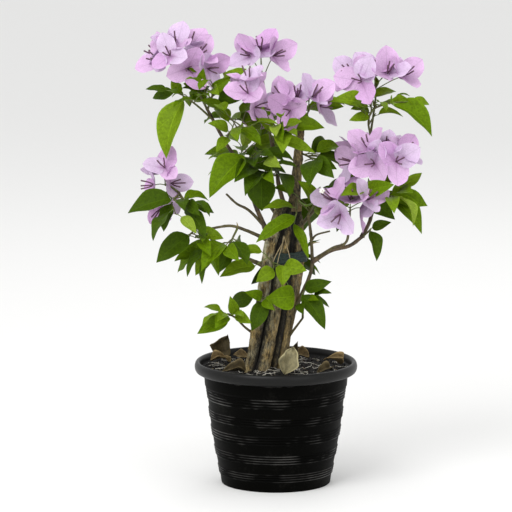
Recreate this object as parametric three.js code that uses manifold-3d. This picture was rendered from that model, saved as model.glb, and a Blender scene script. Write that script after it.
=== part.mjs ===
// A potted bougainvillea: a black nursery pot, a trunk of old canes grown together,
// long thorny boughs, and masses of leaves and of papery lilac bracts.
// Units are millimetres. +Z is up, the camera side is -Y, and the origin is the
// centre of the pot's flat underside.

import * as THREE from 'three';
import { mergeVertices, toCreasedNormals } from 'three/addons/utils/BufferGeometryUtils.js';
import Module from 'manifold-3d';

const wasm = await Module();
wasm.setup();
const { Manifold, Mesh } = wasm;

// Pot and soil
const POT_HEIGHT = 190;
const POT_WALL = 2.6;
const POT_FLOOR = 3;
const POT_FOOT_RADIUS = 84;
const POT_BODY_RADIUS = 111; // where the wall meets the lip
const LIP_RADIUS = 125;
const LIP_DEPTH = 18;
const LIP_INNER_RADIUS = 116;
const LIP_ROUNDING = 5;
const LIP_FACETS = 4;
const LIP_UNDERCUT = 4;
const SHOULDER_STEP = 2.5;
const FOOT_CHAMFER = 1.5;
const SHOULDER_HEIGHT = 152; // the wall steps in below the plain band
const RIB_GROUPS = 5;
const RIB_GROUP_PITCH = 29;
const RIB_GROUP_HEIGHT = 16;
const RIB_DEPTH = 1.3;
const RIB_EDGE = 1.5;
const RIBS_BELOW_SHOULDER = 4;
const POT_SIDES = 24;
const SOIL_LEVEL = 178;
const SOIL_LUMP = 3;
const SOIL_LUMPS = [0.09, 0.12]; // how often lumps come, along X and along Y
const SOIL_LEVEL_RADIUS = 48; // round the trunk the soil is level
const SOIL_LUMP_RADII = [60, 100];

// Wood
const GAP = 0.35; // clearance between one solid and the next
const CANE_SIDES = 9;
const CANE_STEPS = 7;
const BOUGH_SIDES = 6;
const BOUGH_STEP = 36;
const FLARE = 0.3; // how much wider a cane is where it meets the soil
const FLARE_HEIGHT = 18;
const FLUTE = 0.12;
const FLUTES = 3;

// Foliage
const SHOOTS_FROM = 0.35; // the share of a stem that is bare below its first shoot
const SHOOT_ALONG = 0.7; // how far a shoot leans along its stem
const SHOOT_RISE = [0.08, 0.06]; // how far its middle and its tip rise, of its length
const LEAVES_FROM = 0.4; // the share of a shoot that is bare below its first leaf
const LEAF_ALONG = 0.75; // how far a leaf leans along its shoot
const LEAF_ROLL = 0.9; // radians that leaves turn about their midribs, at most
const LIGHT_ASIDE = 0.3; // how much less the light comes from the sides than from the front
const LIGHT_LEVEL = 0.9;
const LEAF_WIDTH = 0.62; // of a leaf's length
const LARGE_LEAF = 40; // the length from which a leaf counts as large
const LEAF_THICKNESS = 1.4;
const LEAF_RIDGE = 0.14; // how steeply its halves fall from the midrib
const LEAF_ARCH = 0.07; // of its length
const LEAF_SPACING = 26; // along a shoot
const PETIOLE_LENGTH = 9;
const PETIOLE_GIRTH = 2;
const TWIG_GIRTH = 2.8;
const TWIG_STEP = 24;
const STEM_STEP = 12;
const BRACTS = 3;
const BRACT_LENGTH = 44;
const BRACT_OPENING = 52; // degrees from the bloom's axis
const BRACT_SHOULDER = 0.66; // where a bract is widest, of its length
const BRACT_SPREAD = 42; // degrees from its midrib to its shoulder, seen from the seat
const BRACT_NOTCH = 0.3; // how near the seat two bracts part, of their length
const BRACT_RISE = 0.2; // how steeply a bract's halves rise from its midrib
const BLOOM_SEAT = 2.2; // half the thickness where its bracts meet
const DOME_DEPTH = 1.7; // how far down blooms go on a dome that is 2 high
const DOME_SHELL = [0.75, 1.1]; // how far out on the dome a bloom is seated
const GOLDEN_ANGLE = 137.5;
const LIMB_MARGIN = 1.6; // kept free round wood
const SHOOT_MARGIN = 3; // kept free between a shoot and wood
const BLADE_MARGIN = 6; // kept free between the blades of two masses
const OWN_MARGIN = 9; // kept free between the leaves of one mass
const BLOOM_MARGIN = 2.5; // kept free between the blooms of one mass
const BLADE_GRID = 7; // spacing of the points that stand for a blade
const POINT_SPACING = 3; // of the points that stand for a limb or a twig
const CROWN_MIDDLE = 10; // the crown's middle lies a little to the right

const UP = new THREE.Vector3(0, 0, 1);

// The trunk: four canes that part above the soil and close again under the fork
const CANES = [
  {
    route: [[-41, -26, 178], [-33, -21, 222], [-20, -14, 295], [-10, -8, 362], [2, -4, 408], [12, -1, 434]],
    girth: [18, 17],
  },
  {
    route: [[-22, -30, 178], [-10, -24, 224], [2, -12, 290], [11, -3, 350], [18, 1, 400], [20, 3, 436]],
    girth: [20, 18],
  },
  {
    route: [[4, -4, 178], [14, -4, 230], [27, 1, 300], [33, 4, 352], [32, 6, 398], [26, 5, 432]],
    girth: [19, 17],
  },
  {
    route: [[-16, 14, 178], [0, 16, 240], [14, 16, 308], [21, 13, 370], [24, 8, 426]],
    girth: [17, 15],
  },
];
const TIE = { centre: [19, 5, 352], radii: [28, 17], wall: 1.4, height: 15, tilt: [0, -4, 8] };
const ROOT_CROWN = { centre: [-15, -8], height: 15, radiusTop: 17, radiusFoot: 31 };

// Boughs, each one tapering limb from its foot in the wood that carries it
const BOUGHS = {
  bough_centre: { route: [[27, 5, 424], [31, 3, 470], [35, 0, 520], [38, -4, 556]], girth: [14.5, 8] },
  bough_middle: { route: [[14, 0, 426], [4, -2, 464], [1, -4, 492], [-6, -12, 534]], girth: [7, 4.6] },
  bough_back_middle: { route: [[2, -2, 482], [-6, 12, 520], [-15, 28, 580]], girth: [4.8, 3.8] },
  bough_top_left: {
    route: [[-14, -7, 392], [-33, -13, 438], [-46, -14, 484], [-76, -14, 529], [-106, -14, 584]],
    girth: [7, 4.4],
  },
  bough_left_middle: {
    route: [[-14, -8, 380], [-46, -24, 397], [-70, -31, 405], [-98, -36, 402]],
    girth: [5.4, 3.4],
  },
  stub_left: {
    route: [[-15, -7, 398], [-41, -22, 427], [-60, -30, 439], [-76, -36, 455]],
    girth: [4.6, 3],
  },
  bough_left_low: {
    route: [[-14, -9, 338], [-55, -26, 358], [-87, -36, 375], [-120, -42, 414], [-149, -42, 459]],
    girth: [6.4, 4],
  },
  bough_right: {
    route: [[22, -1, 254], [41, -6, 298], [54, -10, 334], [54, -12, 380], [49, -12, 420]],
    girth: [6.4, 4],
  },
  bough_right_reach: {
    route: [[55, -11, 346], [84, -15, 364], [112, -18, 372], [132, -21, 387]],
    girth: [6.2, 5.2],
  },
  bough_right_top: {
    route: [[131, -21, 386], [144, -18, 413], [151, -6, 449], [147, 8, 500], [145, 20, 541]],
    girth: [5.6, 4.4],
  },
  bough_right_fork: {
    route: [[60, -11, 350], [86, -28, 370], [107, -40, 382], [111, -48, 415]],
    girth: [4.6, 3.4],
  },
  stub_right: { route: [[53, -12, 378], [62, -18, 389], [82, -26, 396]], girth: [3.2, 2.4] },
  twig_low_left: { route: [[-29, -19, 232], [-47, -24, 246], [-60, -31, 261]], girth: [3.8, 2.8] },
  twig_low_right: { route: [[15, -3, 222], [32, -10, 246], [41, -14, 259]], girth: [3.8, 2.8] },
  bough_back_left: { route: [[14, 12, 396], [-14, 40, 432], [-42, 66, 468]], girth: [6, 4] },
  bough_back_right: { route: [[30, 12, 388], [58, 44, 416], [84, 66, 438]], girth: [6, 4] },
  bough_back_top: { route: [[35, 2, 508], [40, 30, 534], [44, 54, 552]], girth: [5, 3.8] },
};

// Masses of leaves. stem: its route on from the limb. shoots: how many side twigs the
// rule grows, and reach: how far. leaves: the large ones that the plant is known by,
// each from its base to its tip.
const LEAF_MASSES = {
  leaves_top_left: {
    stem: [[-104, -16, 582], [-99, -26, 600], [-92, -35, 617]],
    shoots: 3, reach: 30, size: 40, seed: 36, tone: 'mid',
    leaves: [
      [[-110, -30, 622], [-111, -46, 648]],
      [[-97, -30, 612], [-70, -38, 634]],
      [[-88, -26, 598], [-47, -40, 606]],
    ],
  },
  leaves_hanging_left: {
    stem: [[-96, -14, 565], [-114, -26, 584], [-130, -33, 598], [-140, -35, 605]],
    shoots: 2, reach: 20, size: 36, seed: 14, tone: 'bright',
    leaves: [[[-141, -37, 600], [-169, -56, 513]], [[-147, -37, 609], [-158, -44, 636]]],
  },
  leaves_upper_left: {
    stem: [[-76, -17, 530], [-73, -31, 546], [-61, -40, 557], [-50, -45, 561]],
    shoots: 3, reach: 40, size: 44, seed: 14, tone: 'mid',
    leaves: [
      [[-73, -34, 552], [-103, -48, 566]],
      [[-72, -32, 540], [-91, -52, 522]],
      [[-53, -45, 557], [-22, -66, 537]],
    ],
  },
  leaves_upper_middle: {
    stem: [[-5, -15, 531], [0, -31, 547], [13, -43, 558]],
    shoots: 3, reach: 38, size: 44, seed: 62, tone: 'bright',
    leaves: [
      [[-6, -34, 553], [-30, -56, 574]],
      [[15, -45, 560], [37, -66, 572]],
      [[4, -34, 540], [58, -56, 524]],
    ],
  },
  leaves_middle_left: {
    stem: [[-44, -17, 478], [-44, -30, 494], [-46, -41, 512]],
    shoots: 3, reach: 38, size: 48, seed: 31, tone: 'dark',
    leaves: [[[-48, -43, 514], [-102, -78, 457]], [[-42, -37, 504], [-8, -58, 495]]],
  },
  leaves_fork: {
    stem: [[-1, -6, 478], [-8, -18, 481], [-18, -27, 484]],
    shoots: 4, reach: 38, size: 48, seed: 29, tone: 'dark',
    leaves: [[[-22, -32, 480], [-22, -44, 430]]],
  },
  leaves_centre: {
    stem: [[30, -5, 446], [31, -20, 434], [31, -34, 424]],
    shoots: 1, reach: 30, size: 46, seed: 76, tone: 'mid',
    leaves: [
      [[26, -32, 434], [-20, -62, 438]],
      [[29, -36, 420], [-31, -66, 386]],
      [[27, -30, 408], [50, -54, 358]],
    ],
  },
  leaves_trunk_front: {
    stem: [[3, -16, 330], [-1, -29, 340], [-6, -38, 350], [-14, -44, 360]],
    shoots: 1, reach: 24, size: 36, seed: 64, tone: 'bright',
    leaves: [
      [[-22, -46, 368], [-58, -58, 366]],
      [[-32, -50, 346], [-86, -64, 336]],
      [[8, -44, 346], [10, -62, 318]],
      [[12, -40, 352], [46, -60, 352]],
      [[-4, -46, 340], [-30, -60, 324]],
      [[28, -42, 298], [-14, -62, 298]],
    ],
  },
  leaves_left_middle: {
    stem: [[-60, -31, 398], [-66, -38, 388], [-70, -46, 380]],
    shoots: 3, reach: 34, size: 44, seed: 82, tone: 'dark',
    leaves: [[[-71, -52, 376], [-85, -66, 340]]],
  },
  leaves_centre_arm: {
    stem: [[39, -4, 512], [48, -14, 510], [56, -24, 506]],
    shoots: 3, reach: 28, size: 46, seed: 49, tone: 'dark',
    leaves: [[[59, -27, 507], [92, -40, 494]]],
  },
  leaves_right_inner: {
    stem: [[148, -11, 446], [142, -34, 456], [134, -56, 464]],
    shoots: 3, reach: 28, size: 40, seed: 61, tone: 'bright',
    leaves: [[[136, -60, 464], [176, -92, 478]], [[131, -60, 466], [98, -92, 462]]],
  },
  leaves_left_shoot: {
    stem: [[-86, -39, 374], [-97, -45, 370], [-106, -50, 366]],
    shoots: 3, reach: 28, size: 36, seed: 93, tone: 'mid',
    leaves: [[[-99, -48, 368], [-123, -62, 334]]],
  },
  leaves_left_low: {
    stem: [[-116, -45, 408], [-126, -52, 400], [-132, -57, 395]],
    shoots: 1, reach: 18, size: 36, seed: 32, tone: 'mid',
    leaves: [[[-133, -59, 395], [-182, -80, 357]]],
  },
  leaves_left: {
    stem: [[-147, -46, 455], [-155, -55, 450], [-160, -60, 442]],
    shoots: 3, reach: 30, size: 40, seed: 49, tone: 'dark',
    leaves: [[[-158, -60, 452], [-225, -78, 434]], [[-160, -64, 444], [-172, -76, 404]]],
  },
  leaves_low_left: {
    stem: [[-61, -33, 263], [-67, -38, 267], [-72, -43, 269]],
    shoots: 2, reach: 22, size: 34, seed: 60, tone: 'bright',
    leaves: [[[-73, -45, 267], [-120, -62, 244]], [[-62, -38, 271], [-70, -50, 298]]],
  },
  leaves_trunk_left: {
    stem: [[-22, -23, 296], [-20, -33, 292]],
    shoots: 1, reach: 16, size: 34, seed: 77, tone: 'mid',
    leaves: [[[-20, -35, 288], [-37, -52, 246]], [[-22, -34, 294], [-46, -48, 306]]],
  },
  leaves_low_right: {
    stem: [[41, -17, 262], [41, -25, 278], [39, -30, 296]],
    shoots: 2, reach: 18, size: 34, seed: 8, tone: 'dark',
    leaves: [[[40, -32, 298], [77, -54, 252]], [[44, -30, 306], [84, -42, 321]]],
  },
  leaves_right_fork: {
    stem: [[134, -24, 388], [140, -34, 396], [144, -42, 402]],
    shoots: 1, reach: 18, size: 36, seed: 41, tone: 'dark',
    leaves: [[[146, -44, 404], [174, -56, 415]], [[143, -44, 399], [156, -62, 358]]],
  },
  leaves_right: {
    stem: [[150, -15, 434], [158, -30, 445], [168, -43, 452]],
    shoots: 3, reach: 28, size: 42, seed: 99, tone: 'mid',
    leaves: [[[171, -46, 451], [223, -70, 402]], [[173, -46, 455], [231, -42, 438]]],
  },
  leaves_top_right: {
    stem: [[145, 17, 536], [141, 4, 560], [148, 0, 580], [172, -5, 590]],
    shoots: 4, reach: 30, size: 40, seed: 19, tone: 'bright',
    leaves: [
      [[140, 2, 584], [84, -16, 598]],
      [[178, -7, 588], [240, -30, 549]],
      [[142, 2, 570], [112, -14, 566]],
    ],
  },
  leaves_centre_right: {
    stem: [[49, -12, 422], [54, -24, 430], [59, -32, 440]],
    shoots: 4, reach: 36, size: 48, seed: 57, tone: 'mid',
    leaves: [[[57, -34, 444], [34, -52, 478]], [[60, -36, 436], [92, -62, 412]]],
  },
  leaves_back_left: {
    stem: [[-30, 55, 453], [-46, 66, 476], [-58, 74, 498]],
    shoots: 3, reach: 42, size: 52, seed: 28, tone: 'mid',
    leaves: [],
  },
  leaves_back_right: {
    stem: [[83, 65, 437], [92, 74, 430], [104, 78, 432]],
    shoots: 3, reach: 44, size: 54, seed: 8, tone: 'dark',
    leaves: [],
  },
  leaves_back_top: {
    stem: [[45, 57, 554], [48, 66, 562], [50, 74, 568]],
    shoots: 3, reach: 38, size: 48, seed: 75, tone: 'mid',
    leaves: [],
  },
  leaves_back_low: {
    stem: [[19, 20, 322], [18, 36, 322], [13, 50, 330]],
    shoots: 3, reach: 30, size: 46, seed: 70, tone: 'dark',
    leaves: [],
  },
};

// Masses of bloom. tries: how many blooms the rule tries to seat, spread: how far their
// seats lie from the stem's end, lean: the way that the whole cluster faces.
const BLOOM_MASSES = {
  bloom_top_left: {
    stem: [[-107, -13, 588], [-128, -12, 626], [-143, -10, 650]],
    tries: 22, spread: [44, 30, 20], seed: 9, lean: [0, -0.3, 0.5],
  },
  bloom_top_middle: {
    stem: [[-15, 29, 583], [-17, 33, 615], [-16, 36, 640]],
    tries: 22, spread: [20, 20, 12], seed: 11, lean: [0, -0.2, 0.5],
  },
  bloom_front_middle: {
    stem: [[-7, -13, 537], [-19, -27, 571], [-36, -42, 602]],
    tries: 17, spread: [10, 12, 22], seed: 56, lean: [-0.2, -0.5, 0.3],
  },
  bloom_centre_right: {
    stem: [[38, -5, 559], [39, -7, 572], [41, -9, 584]],
    tries: 22, spread: [26, 24, 20], seed: 25, lean: [0.1, -0.4, 0.3],
  },
  bloom_top_right: {
    stem: [[145, 21, 544], [152, 27, 590], [156, 30, 616]],
    tries: 22, spread: [42, 30, 12], seed: 67, lean: [0, -0.2, 0.5],
  },
  bloom_right: {
    stem: [[151, -4, 470], [156, -24, 484], [156, -40, 500]],
    tries: 22, spread: [46, 26, 22], seed: 45, lean: [0, -0.5, 0.3],
  },
  bloom_right_low: {
    stem: [[111, -50, 418], [112, -60, 430], [112, -68, 440]],
    tries: 17, spread: [34, 18, 16], seed: 68, lean: [-0.1, -0.6, 0.1],
  },
  bloom_left: {
    stem: [[-151, -42, 461], [-162, -42, 468], [-170, -44, 472]],
    tries: 17, spread: [16, 18, 28], seed: 12, lean: [-0.4, -0.4, 0.1],
  },
  bloom_back: {
    stem: [[-42, 66, 468], [-30, 84, 510], [-8, 92, 548]],
    tries: 11, spread: [18, 14, 16], seed: 62, lean: [0, 0.5, 0.3],
  },
  bloom_back_right: {
    stem: [[84, 66, 438], [100, 82, 474], [110, 88, 500]],
    tries: 13, spread: [16, 16, 16], seed: 47, lean: [0.2, 0.5, 0.3],
  },
};

// A mass's stem springs from the middle of the limb nearest to its first point, and is cut
// clear of that limb afterwards
for (const mass of [...Object.values(LEAF_MASSES), ...Object.values(BLOOM_MASSES)]) {
  const start = nearestOf(woodPoints().map(({ point }) => point), vector(mass.stem[0]));
  mass.stem[0] = start.toArray();
}

const MATERIALS = {
  pot: new THREE.MeshStandardMaterial({ color: '#16140f', roughness: 0.5, metalness: 0 }),
  soil: new THREE.MeshStandardMaterial({ color: '#2a1d12', roughness: 1, metalness: 0 }),
  bark: new THREE.MeshStandardMaterial({ color: '#7d6a4a', roughness: 0.9, metalness: 0 }),
  greenWood: new THREE.MeshStandardMaterial({ color: '#6b6a35', roughness: 0.8, metalness: 0 }),
  tie: new THREE.MeshStandardMaterial({ color: '#2e4a3c', roughness: 0.7, metalness: 0 }),
  dark: new THREE.MeshStandardMaterial({ color: '#2f4d10', roughness: 0.6, metalness: 0 }),
  mid: new THREE.MeshStandardMaterial({ color: '#4d7a1e', roughness: 0.6, metalness: 0 }),
  bright: new THREE.MeshStandardMaterial({ color: '#6a9a1f', roughness: 0.6, metalness: 0 }),
  bract: new THREE.MeshStandardMaterial({ color: '#c9a3d6', roughness: 0.75, metalness: 0 }),
};

// A short generator is used for every seeded choice: values from 0 to 1
function dice(seed) {
  let state = seed * 7919;
  return () => {
    state = (state * 16807) % 2147483647;
    return state / 2147483647;
  };
}

function vector([x, y, z]) {
  return new THREE.Vector3(x, y, z);
}

function curveThrough(route) {
  return new THREE.CatmullRomCurve3(route.map(vector), false, 'catmullrom', 0.5);
}

// Frames that follow a curve without twisting round it
function framesAlong(curve, steps) {
  const frames = [];
  let side = null;
  for (let i = 0; i <= steps; i++) {
    const t = i / steps;
    const point = curve.getPoint(t);
    const ahead = curve.getTangent(t);
    const start = side ?? (Math.abs(ahead.z) > 0.9 ? new THREE.Vector3(1, 0, 0) : UP.clone());
    side = start.clone().addScaledVector(ahead, -start.dot(ahead)).normalize();
    frames.push({ t, point, ahead, side, across: ahead.clone().cross(side) });
  }
  return frames;
}

// A geometry's corners are merged, and a face whose corners fell together is dropped
function toSolid(geometry) {
  geometry.deleteAttribute('normal');
  geometry.deleteAttribute('uv');
  const merged = mergeVertices(geometry, 1e-5);
  const corners = merged.index.array;
  const faces = [];
  for (let i = 0; i < corners.length; i += 3) {
    const [a, b, c] = [corners[i], corners[i + 1], corners[i + 2]];
    if (a !== b && b !== c && c !== a) faces.push(a, b, c);
  }
  return new Manifold(new Mesh({
    numProp: 3,
    vertProperties: new Float32Array(merged.attributes.position.array),
    triVerts: new Uint32Array(faces),
  }));
}

// A cylinder bent along a curve. radiusAt(t, angle) gives its radius round each step, and
// overhang is how far it runs on past the curve's ends.
function bentCylinder(curve, steps, sides, radiusAt, overhang = 0) {
  const geometry = new THREE.CylinderGeometry(1, 1, 1, sides, steps);
  const frames = framesAlong(curve, steps);
  const position = geometry.attributes.position;
  for (let i = 0; i < position.count; i++) {
    const [x, y, z] = [position.getX(i), position.getY(i), position.getZ(i)];
    const frame = frames[Math.round((y + 0.5) * steps)];
    const angle = Math.atan2(z, x);
    const radius = Math.hypot(x, z) * radiusAt(frame.t, angle);
    const place = frame.point.clone()
      .addScaledVector(frame.side, -Math.cos(angle) * radius)
      .addScaledVector(frame.across, Math.sin(angle) * radius);
    if (frame.t === 0 || frame.t === 1) place.addScaledVector(frame.ahead, overhang * Math.sign(y));
    position.setXYZ(i, place.x, place.y, place.z);
  }
  return toSolid(geometry);
}

function taperedTwig(route, girth, sides, spacing, extra = 0) {
  const curve = curveThrough(route);
  const steps = Math.max(1, Math.round(curve.getLength() / spacing));
  const radiusAt = (t) => THREE.MathUtils.lerp(girth[0], girth[1], t) / 2 + extra;
  return bentCylinder(curve, steps, sides, radiusAt, extra);
}

function cane(index, extra) {
  const { route, girth } = CANES[index];
  const curve = curveThrough(route);
  const height = route.at(-1)[2] - route[0][2];
  return bentCylinder(curve, CANE_STEPS, CANE_SIDES, (t, angle) => {
    const flare = 1 + FLARE * Math.exp(-t * height / FLARE_HEIGHT);
    const flute = 1 + FLUTE * Math.cos(FLUTES * (angle + t) + 2 * index);
    return THREE.MathUtils.lerp(girth[0], girth[1], t) / 2 * flare * flute + extra;
  }, extra);
}

function rootCrown(extra) {
  const { centre, height, radiusTop, radiusFoot } = ROOT_CROWN;
  const geometry = new THREE.CylinderGeometry(radiusTop + extra, radiusFoot + extra, height, 16, 1);
  geometry.rotateX(Math.PI / 2);
  geometry.translate(centre[0], centre[1], SOIL_LEVEL + height / 2);
  return toSolid(geometry);
}

function joined(solids) {
  return Manifold.union(solids);
}

function largestPiece(solid) {
  const pieces = solid.decompose();
  return pieces.reduce((best, piece) => (piece.volume() > best.volume() ? piece : best));
}

// The trunk's canes reach down through the soil line and are cut flat there
function trunkSolid(extra) {
  const side = 2 * LIP_RADIUS;
  const below = toSolid(new THREE.BoxGeometry(side, side, side).translate(0, 0, SOIL_LEVEL - side / 2));
  const canes = CANES.map((_, index) => cane(index, extra));
  return largestPiece(joined([...canes, rootCrown(extra)]).subtract(below));
}

// A blade is a leaf or a bract. Its stations run from its base to its tip, and give how
// far along they are, the half-width there, and how high the midrib stands. slope is how
// steeply the blade's halves rise from the midrib.
function makeBlade(base, tip, facing, stations, slope) {
  const along = tip.clone().sub(base);
  const axis = along.clone().normalize();
  const normal = facing.clone().addScaledVector(axis, -facing.dot(axis)).normalize();
  return { base, axis, normal, side: normal.clone().cross(axis), length: along.length(), stations, slope };
}

// A large leaf is rounded off by two wide stations, and a small one has a single one
function leafBlade(base, tip, facing, width) {
  const length = tip.distanceTo(base);
  const half = length * width / 2;
  const rise = length * LEAF_ARCH;
  const wide = length > LARGE_LEAF
    ? [{ u: 0.27, half, rise: rise * 0.8 }, { u: 0.65, half: half * 0.76, rise }]
    : [{ u: 0.4, half, rise }];
  const stations = [{ u: 0, half: PETIOLE_GIRTH / 2, rise: 0 }, ...wide, { u: 1, half: 0, rise: 0 }];
  return makeBlade(base, tip, facing, stations, -LEAF_RIDGE);
}

function bladeAt(blade, u) {
  const next = Math.max(1, blade.stations.findIndex((station) => station.u >= u));
  const [a, b] = [blade.stations[next - 1], blade.stations[next]];
  const t = (u - a.u) / (b.u - a.u);
  return { half: THREE.MathUtils.lerp(a.half, b.half, t), rise: THREE.MathUtils.lerp(a.rise, b.rise, t) };
}

function bladePoint(blade, u, across, lift = 0) {
  return blade.base.clone()
    .addScaledVector(blade.axis, u * blade.length)
    .addScaledVector(blade.side, across)
    .addScaledVector(blade.normal, bladeAt(blade, u).rise + blade.slope * Math.abs(across) + lift);
}

// A leaf with its petiole is a three-sided cone: left edge, right edge and the ridge over
// the midrib, flat below. Its wide end is sunk in the twig.
function leafSolid({ root, blade }) {
  const rows = blade.stations.length;
  const stalk = blade.base.clone().sub(root).normalize();
  const stalkSide = blade.normal.clone().cross(stalk).normalize();
  const stalkNormal = stalk.clone().cross(stalkSide);
  const geometry = new THREE.CylinderGeometry(0, 1, 1, 3, rows);
  const position = geometry.attributes.position;
  for (let i = 0; i < position.count; i++) {
    const [x, y, z] = [position.getX(i), position.getY(i), position.getZ(i)];
    const row = Math.round((0.5 + y) * rows);
    const edge = Math.abs(x) < 1e-3 ? 0 : Math.sign(x);
    const place = row === 0 ? root.clone() : bladePoint(blade, blade.stations[row - 1].u, 0);
    const half = row === 0 ? PETIOLE_GIRTH / 2 : blade.stations[row - 1].half;
    place.addScaledVector(row === 0 ? stalkSide : blade.side, -edge * half);
    if (row < rows) {
      const ridge = LEAF_THICKNESS / 2 + (row > 0 ? LEAF_RIDGE * half : 0.6);
      const level = z > 1e-3 ? ridge : edge ? -ridge : 0;
      place.addScaledVector(row === 0 ? stalkNormal : blade.normal, level);
    }
    position.setXYZ(i, place.x, place.y, place.z);
  }
  return toSolid(geometry);
}

// Light reaches a leaf from above, and from the front or the back of the crown
function towardLight(point) {
  const aside = LIGHT_ASIDE * (point.x - CROWN_MIDDLE);
  const outward = new THREE.Vector3(aside, point.y + Math.sign(point.y) * 30, 0);
  return outward.normalize().multiplyScalar(LIGHT_LEVEL).add(UP);
}

// A large leaf's petiole springs from the part of the stem that lies behind it
function largeLeaves({ stem, leaves, seed }) {
  const rand = dice(seed);
  const places = pointsEvery(stem, POINT_SPACING).slice(1);
  return leaves.map(([from, to]) => {
    const [base, tip] = [vector(from), vector(to)];
    const behind = base.clone().addScaledVector(base.clone().sub(tip).normalize(), PETIOLE_LENGTH);
    return leafOnTwig(nearestOf(places, behind), base, tip, rand);
  });
}

// A leaf, with the place on its twig that its petiole springs from
function leafOnTwig(root, base, tip, rand) {
  const roll = (rand() - 0.5) * LEAF_ROLL;
  const facing = towardLight(base).applyAxisAngle(tip.clone().sub(base).normalize(), roll);
  return { root, blade: leafBlade(base, tip, facing, LEAF_WIDTH * (0.9 + 0.25 * rand())) };
}

function pointsEvery(route, spacing) {
  const curve = curveThrough(route);
  const steps = Math.max(1, Math.ceil(curve.getLength() / spacing));
  return Array.from({ length: steps + 1 }, (_, i) => curve.getPoint(i / steps));
}

function nearestOf(points, place) {
  return points.reduce((best, point) => (
    point.distanceToSquared(place) < best.distanceToSquared(place) ? point : best));
}

// Side twigs leave the stem in turn round it, lean outward and rise at their tips
function growShoots(mass) {
  const rand = dice(mass.seed);
  const curve = curveThrough(mass.stem);
  const shoots = [];
  for (let i = 0; i < mass.shoots; i++) {
    const t = THREE.MathUtils.lerp(SHOOTS_FROM, 1, (i + 0.6) / mass.shoots);
    const foot = curve.getPoint(t);
    const ahead = curve.getTangent(t);
    const turn = THREE.MathUtils.degToRad(GOLDEN_ANGLE * i + 360 * rand());
    const outward = new THREE.Vector3(Math.cos(turn), Math.sin(turn), 0.4 * (rand() - 0.3));
    const heading = outward.addScaledVector(ahead, SHOOT_ALONG).normalize();
    const length = mass.reach * (0.65 + 0.35 * rand());
    const [middleRise, tipRise] = SHOOT_RISE.map((rise) => rise * length);
    const middle = foot.clone().addScaledVector(heading, length / 2).addScaledVector(UP, middleRise);
    const tip = foot.clone().addScaledVector(heading, length).addScaledVector(UP, tipRise);
    shoots.push([foot, middle, tip].map((point) => point.toArray()));
  }
  return shoots;
}

// Leaves stand by turns along each shoot, and one ends it
function leavesOnShoot(route, mass, rand) {
  const curve = curveThrough(route);
  const length = curve.getLength();
  const count = Math.max(1, Math.round(length / LEAF_SPACING));
  const leaves = [];
  for (let i = 0; i <= count; i++) {
    const t = THREE.MathUtils.lerp(LEAVES_FROM, 1, i / count);
    const root = curve.getPoint(t);
    const ahead = curve.getTangent(t);
    const level = ahead.clone().cross(UP).normalize();
    const outward = level.multiplyScalar(i % 2 ? 1 : -1).multiplyScalar(i === count ? 0.1 : 1);
    const rise = 0.35 - 0.5 * rand();
    const heading = outward.addScaledVector(ahead, LEAF_ALONG).addScaledVector(UP, rise).normalize();
    const base = root.clone().addScaledVector(heading, PETIOLE_LENGTH);
    const size = mass.size * (0.75 + 0.35 * rand());
    const droop = size * (0.25 + 0.5 * rand());
    const tip = base.clone().addScaledVector(heading, size).addScaledVector(UP, -droop);
    leaves.push(leafOnTwig(root, base, tip, rand));
  }
  return leaves;
}

// A bloom is a cup of bracts that open round its axis
function makeBloom(foot, seat, axis, rand) {
  const level = new THREE.Vector3(axis.z, axis.x, -axis.y).cross(axis).normalize();
  const first = level.applyAxisAngle(axis, rand() * Math.PI * 2);
  const opening = THREE.MathUtils.degToRad(BRACT_OPENING + 16 * (rand() - 0.5));
  return { foot, seat, axis, first, opening, size: BRACT_LENGTH * (0.88 + 0.2 * rand()) };
}

// The way from a bloom's seat at an angle round its axis
function bractHeading({ axis, first, opening }, angle) {
  return first.clone().applyAxisAngle(axis, angle)
    .multiplyScalar(Math.sin(opening))
    .addScaledVector(axis, Math.cos(opening));
}

function bractBlades(bloom) {
  const spread = THREE.MathUtils.degToRad(BRACT_SPREAD);
  const half = bloom.size * BRACT_SHOULDER * Math.sin(spread) * Math.sin(bloom.opening) * 1.1;
  const stations = [
    { u: 0, half: PETIOLE_GIRTH, rise: 0 },
    { u: BRACT_SHOULDER, half, rise: 0 },
    { u: 1, half: 0, rise: 0 },
  ];
  return Array.from({ length: BRACTS }, (_, k) => {
    const heading = bractHeading(bloom, k * 2 * Math.PI / BRACTS);
    const tip = bloom.seat.clone().addScaledVector(heading, bloom.size);
    return makeBlade(bloom.seat, tip, bloom.axis, stations, BRACT_RISE);
  });
}

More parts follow.
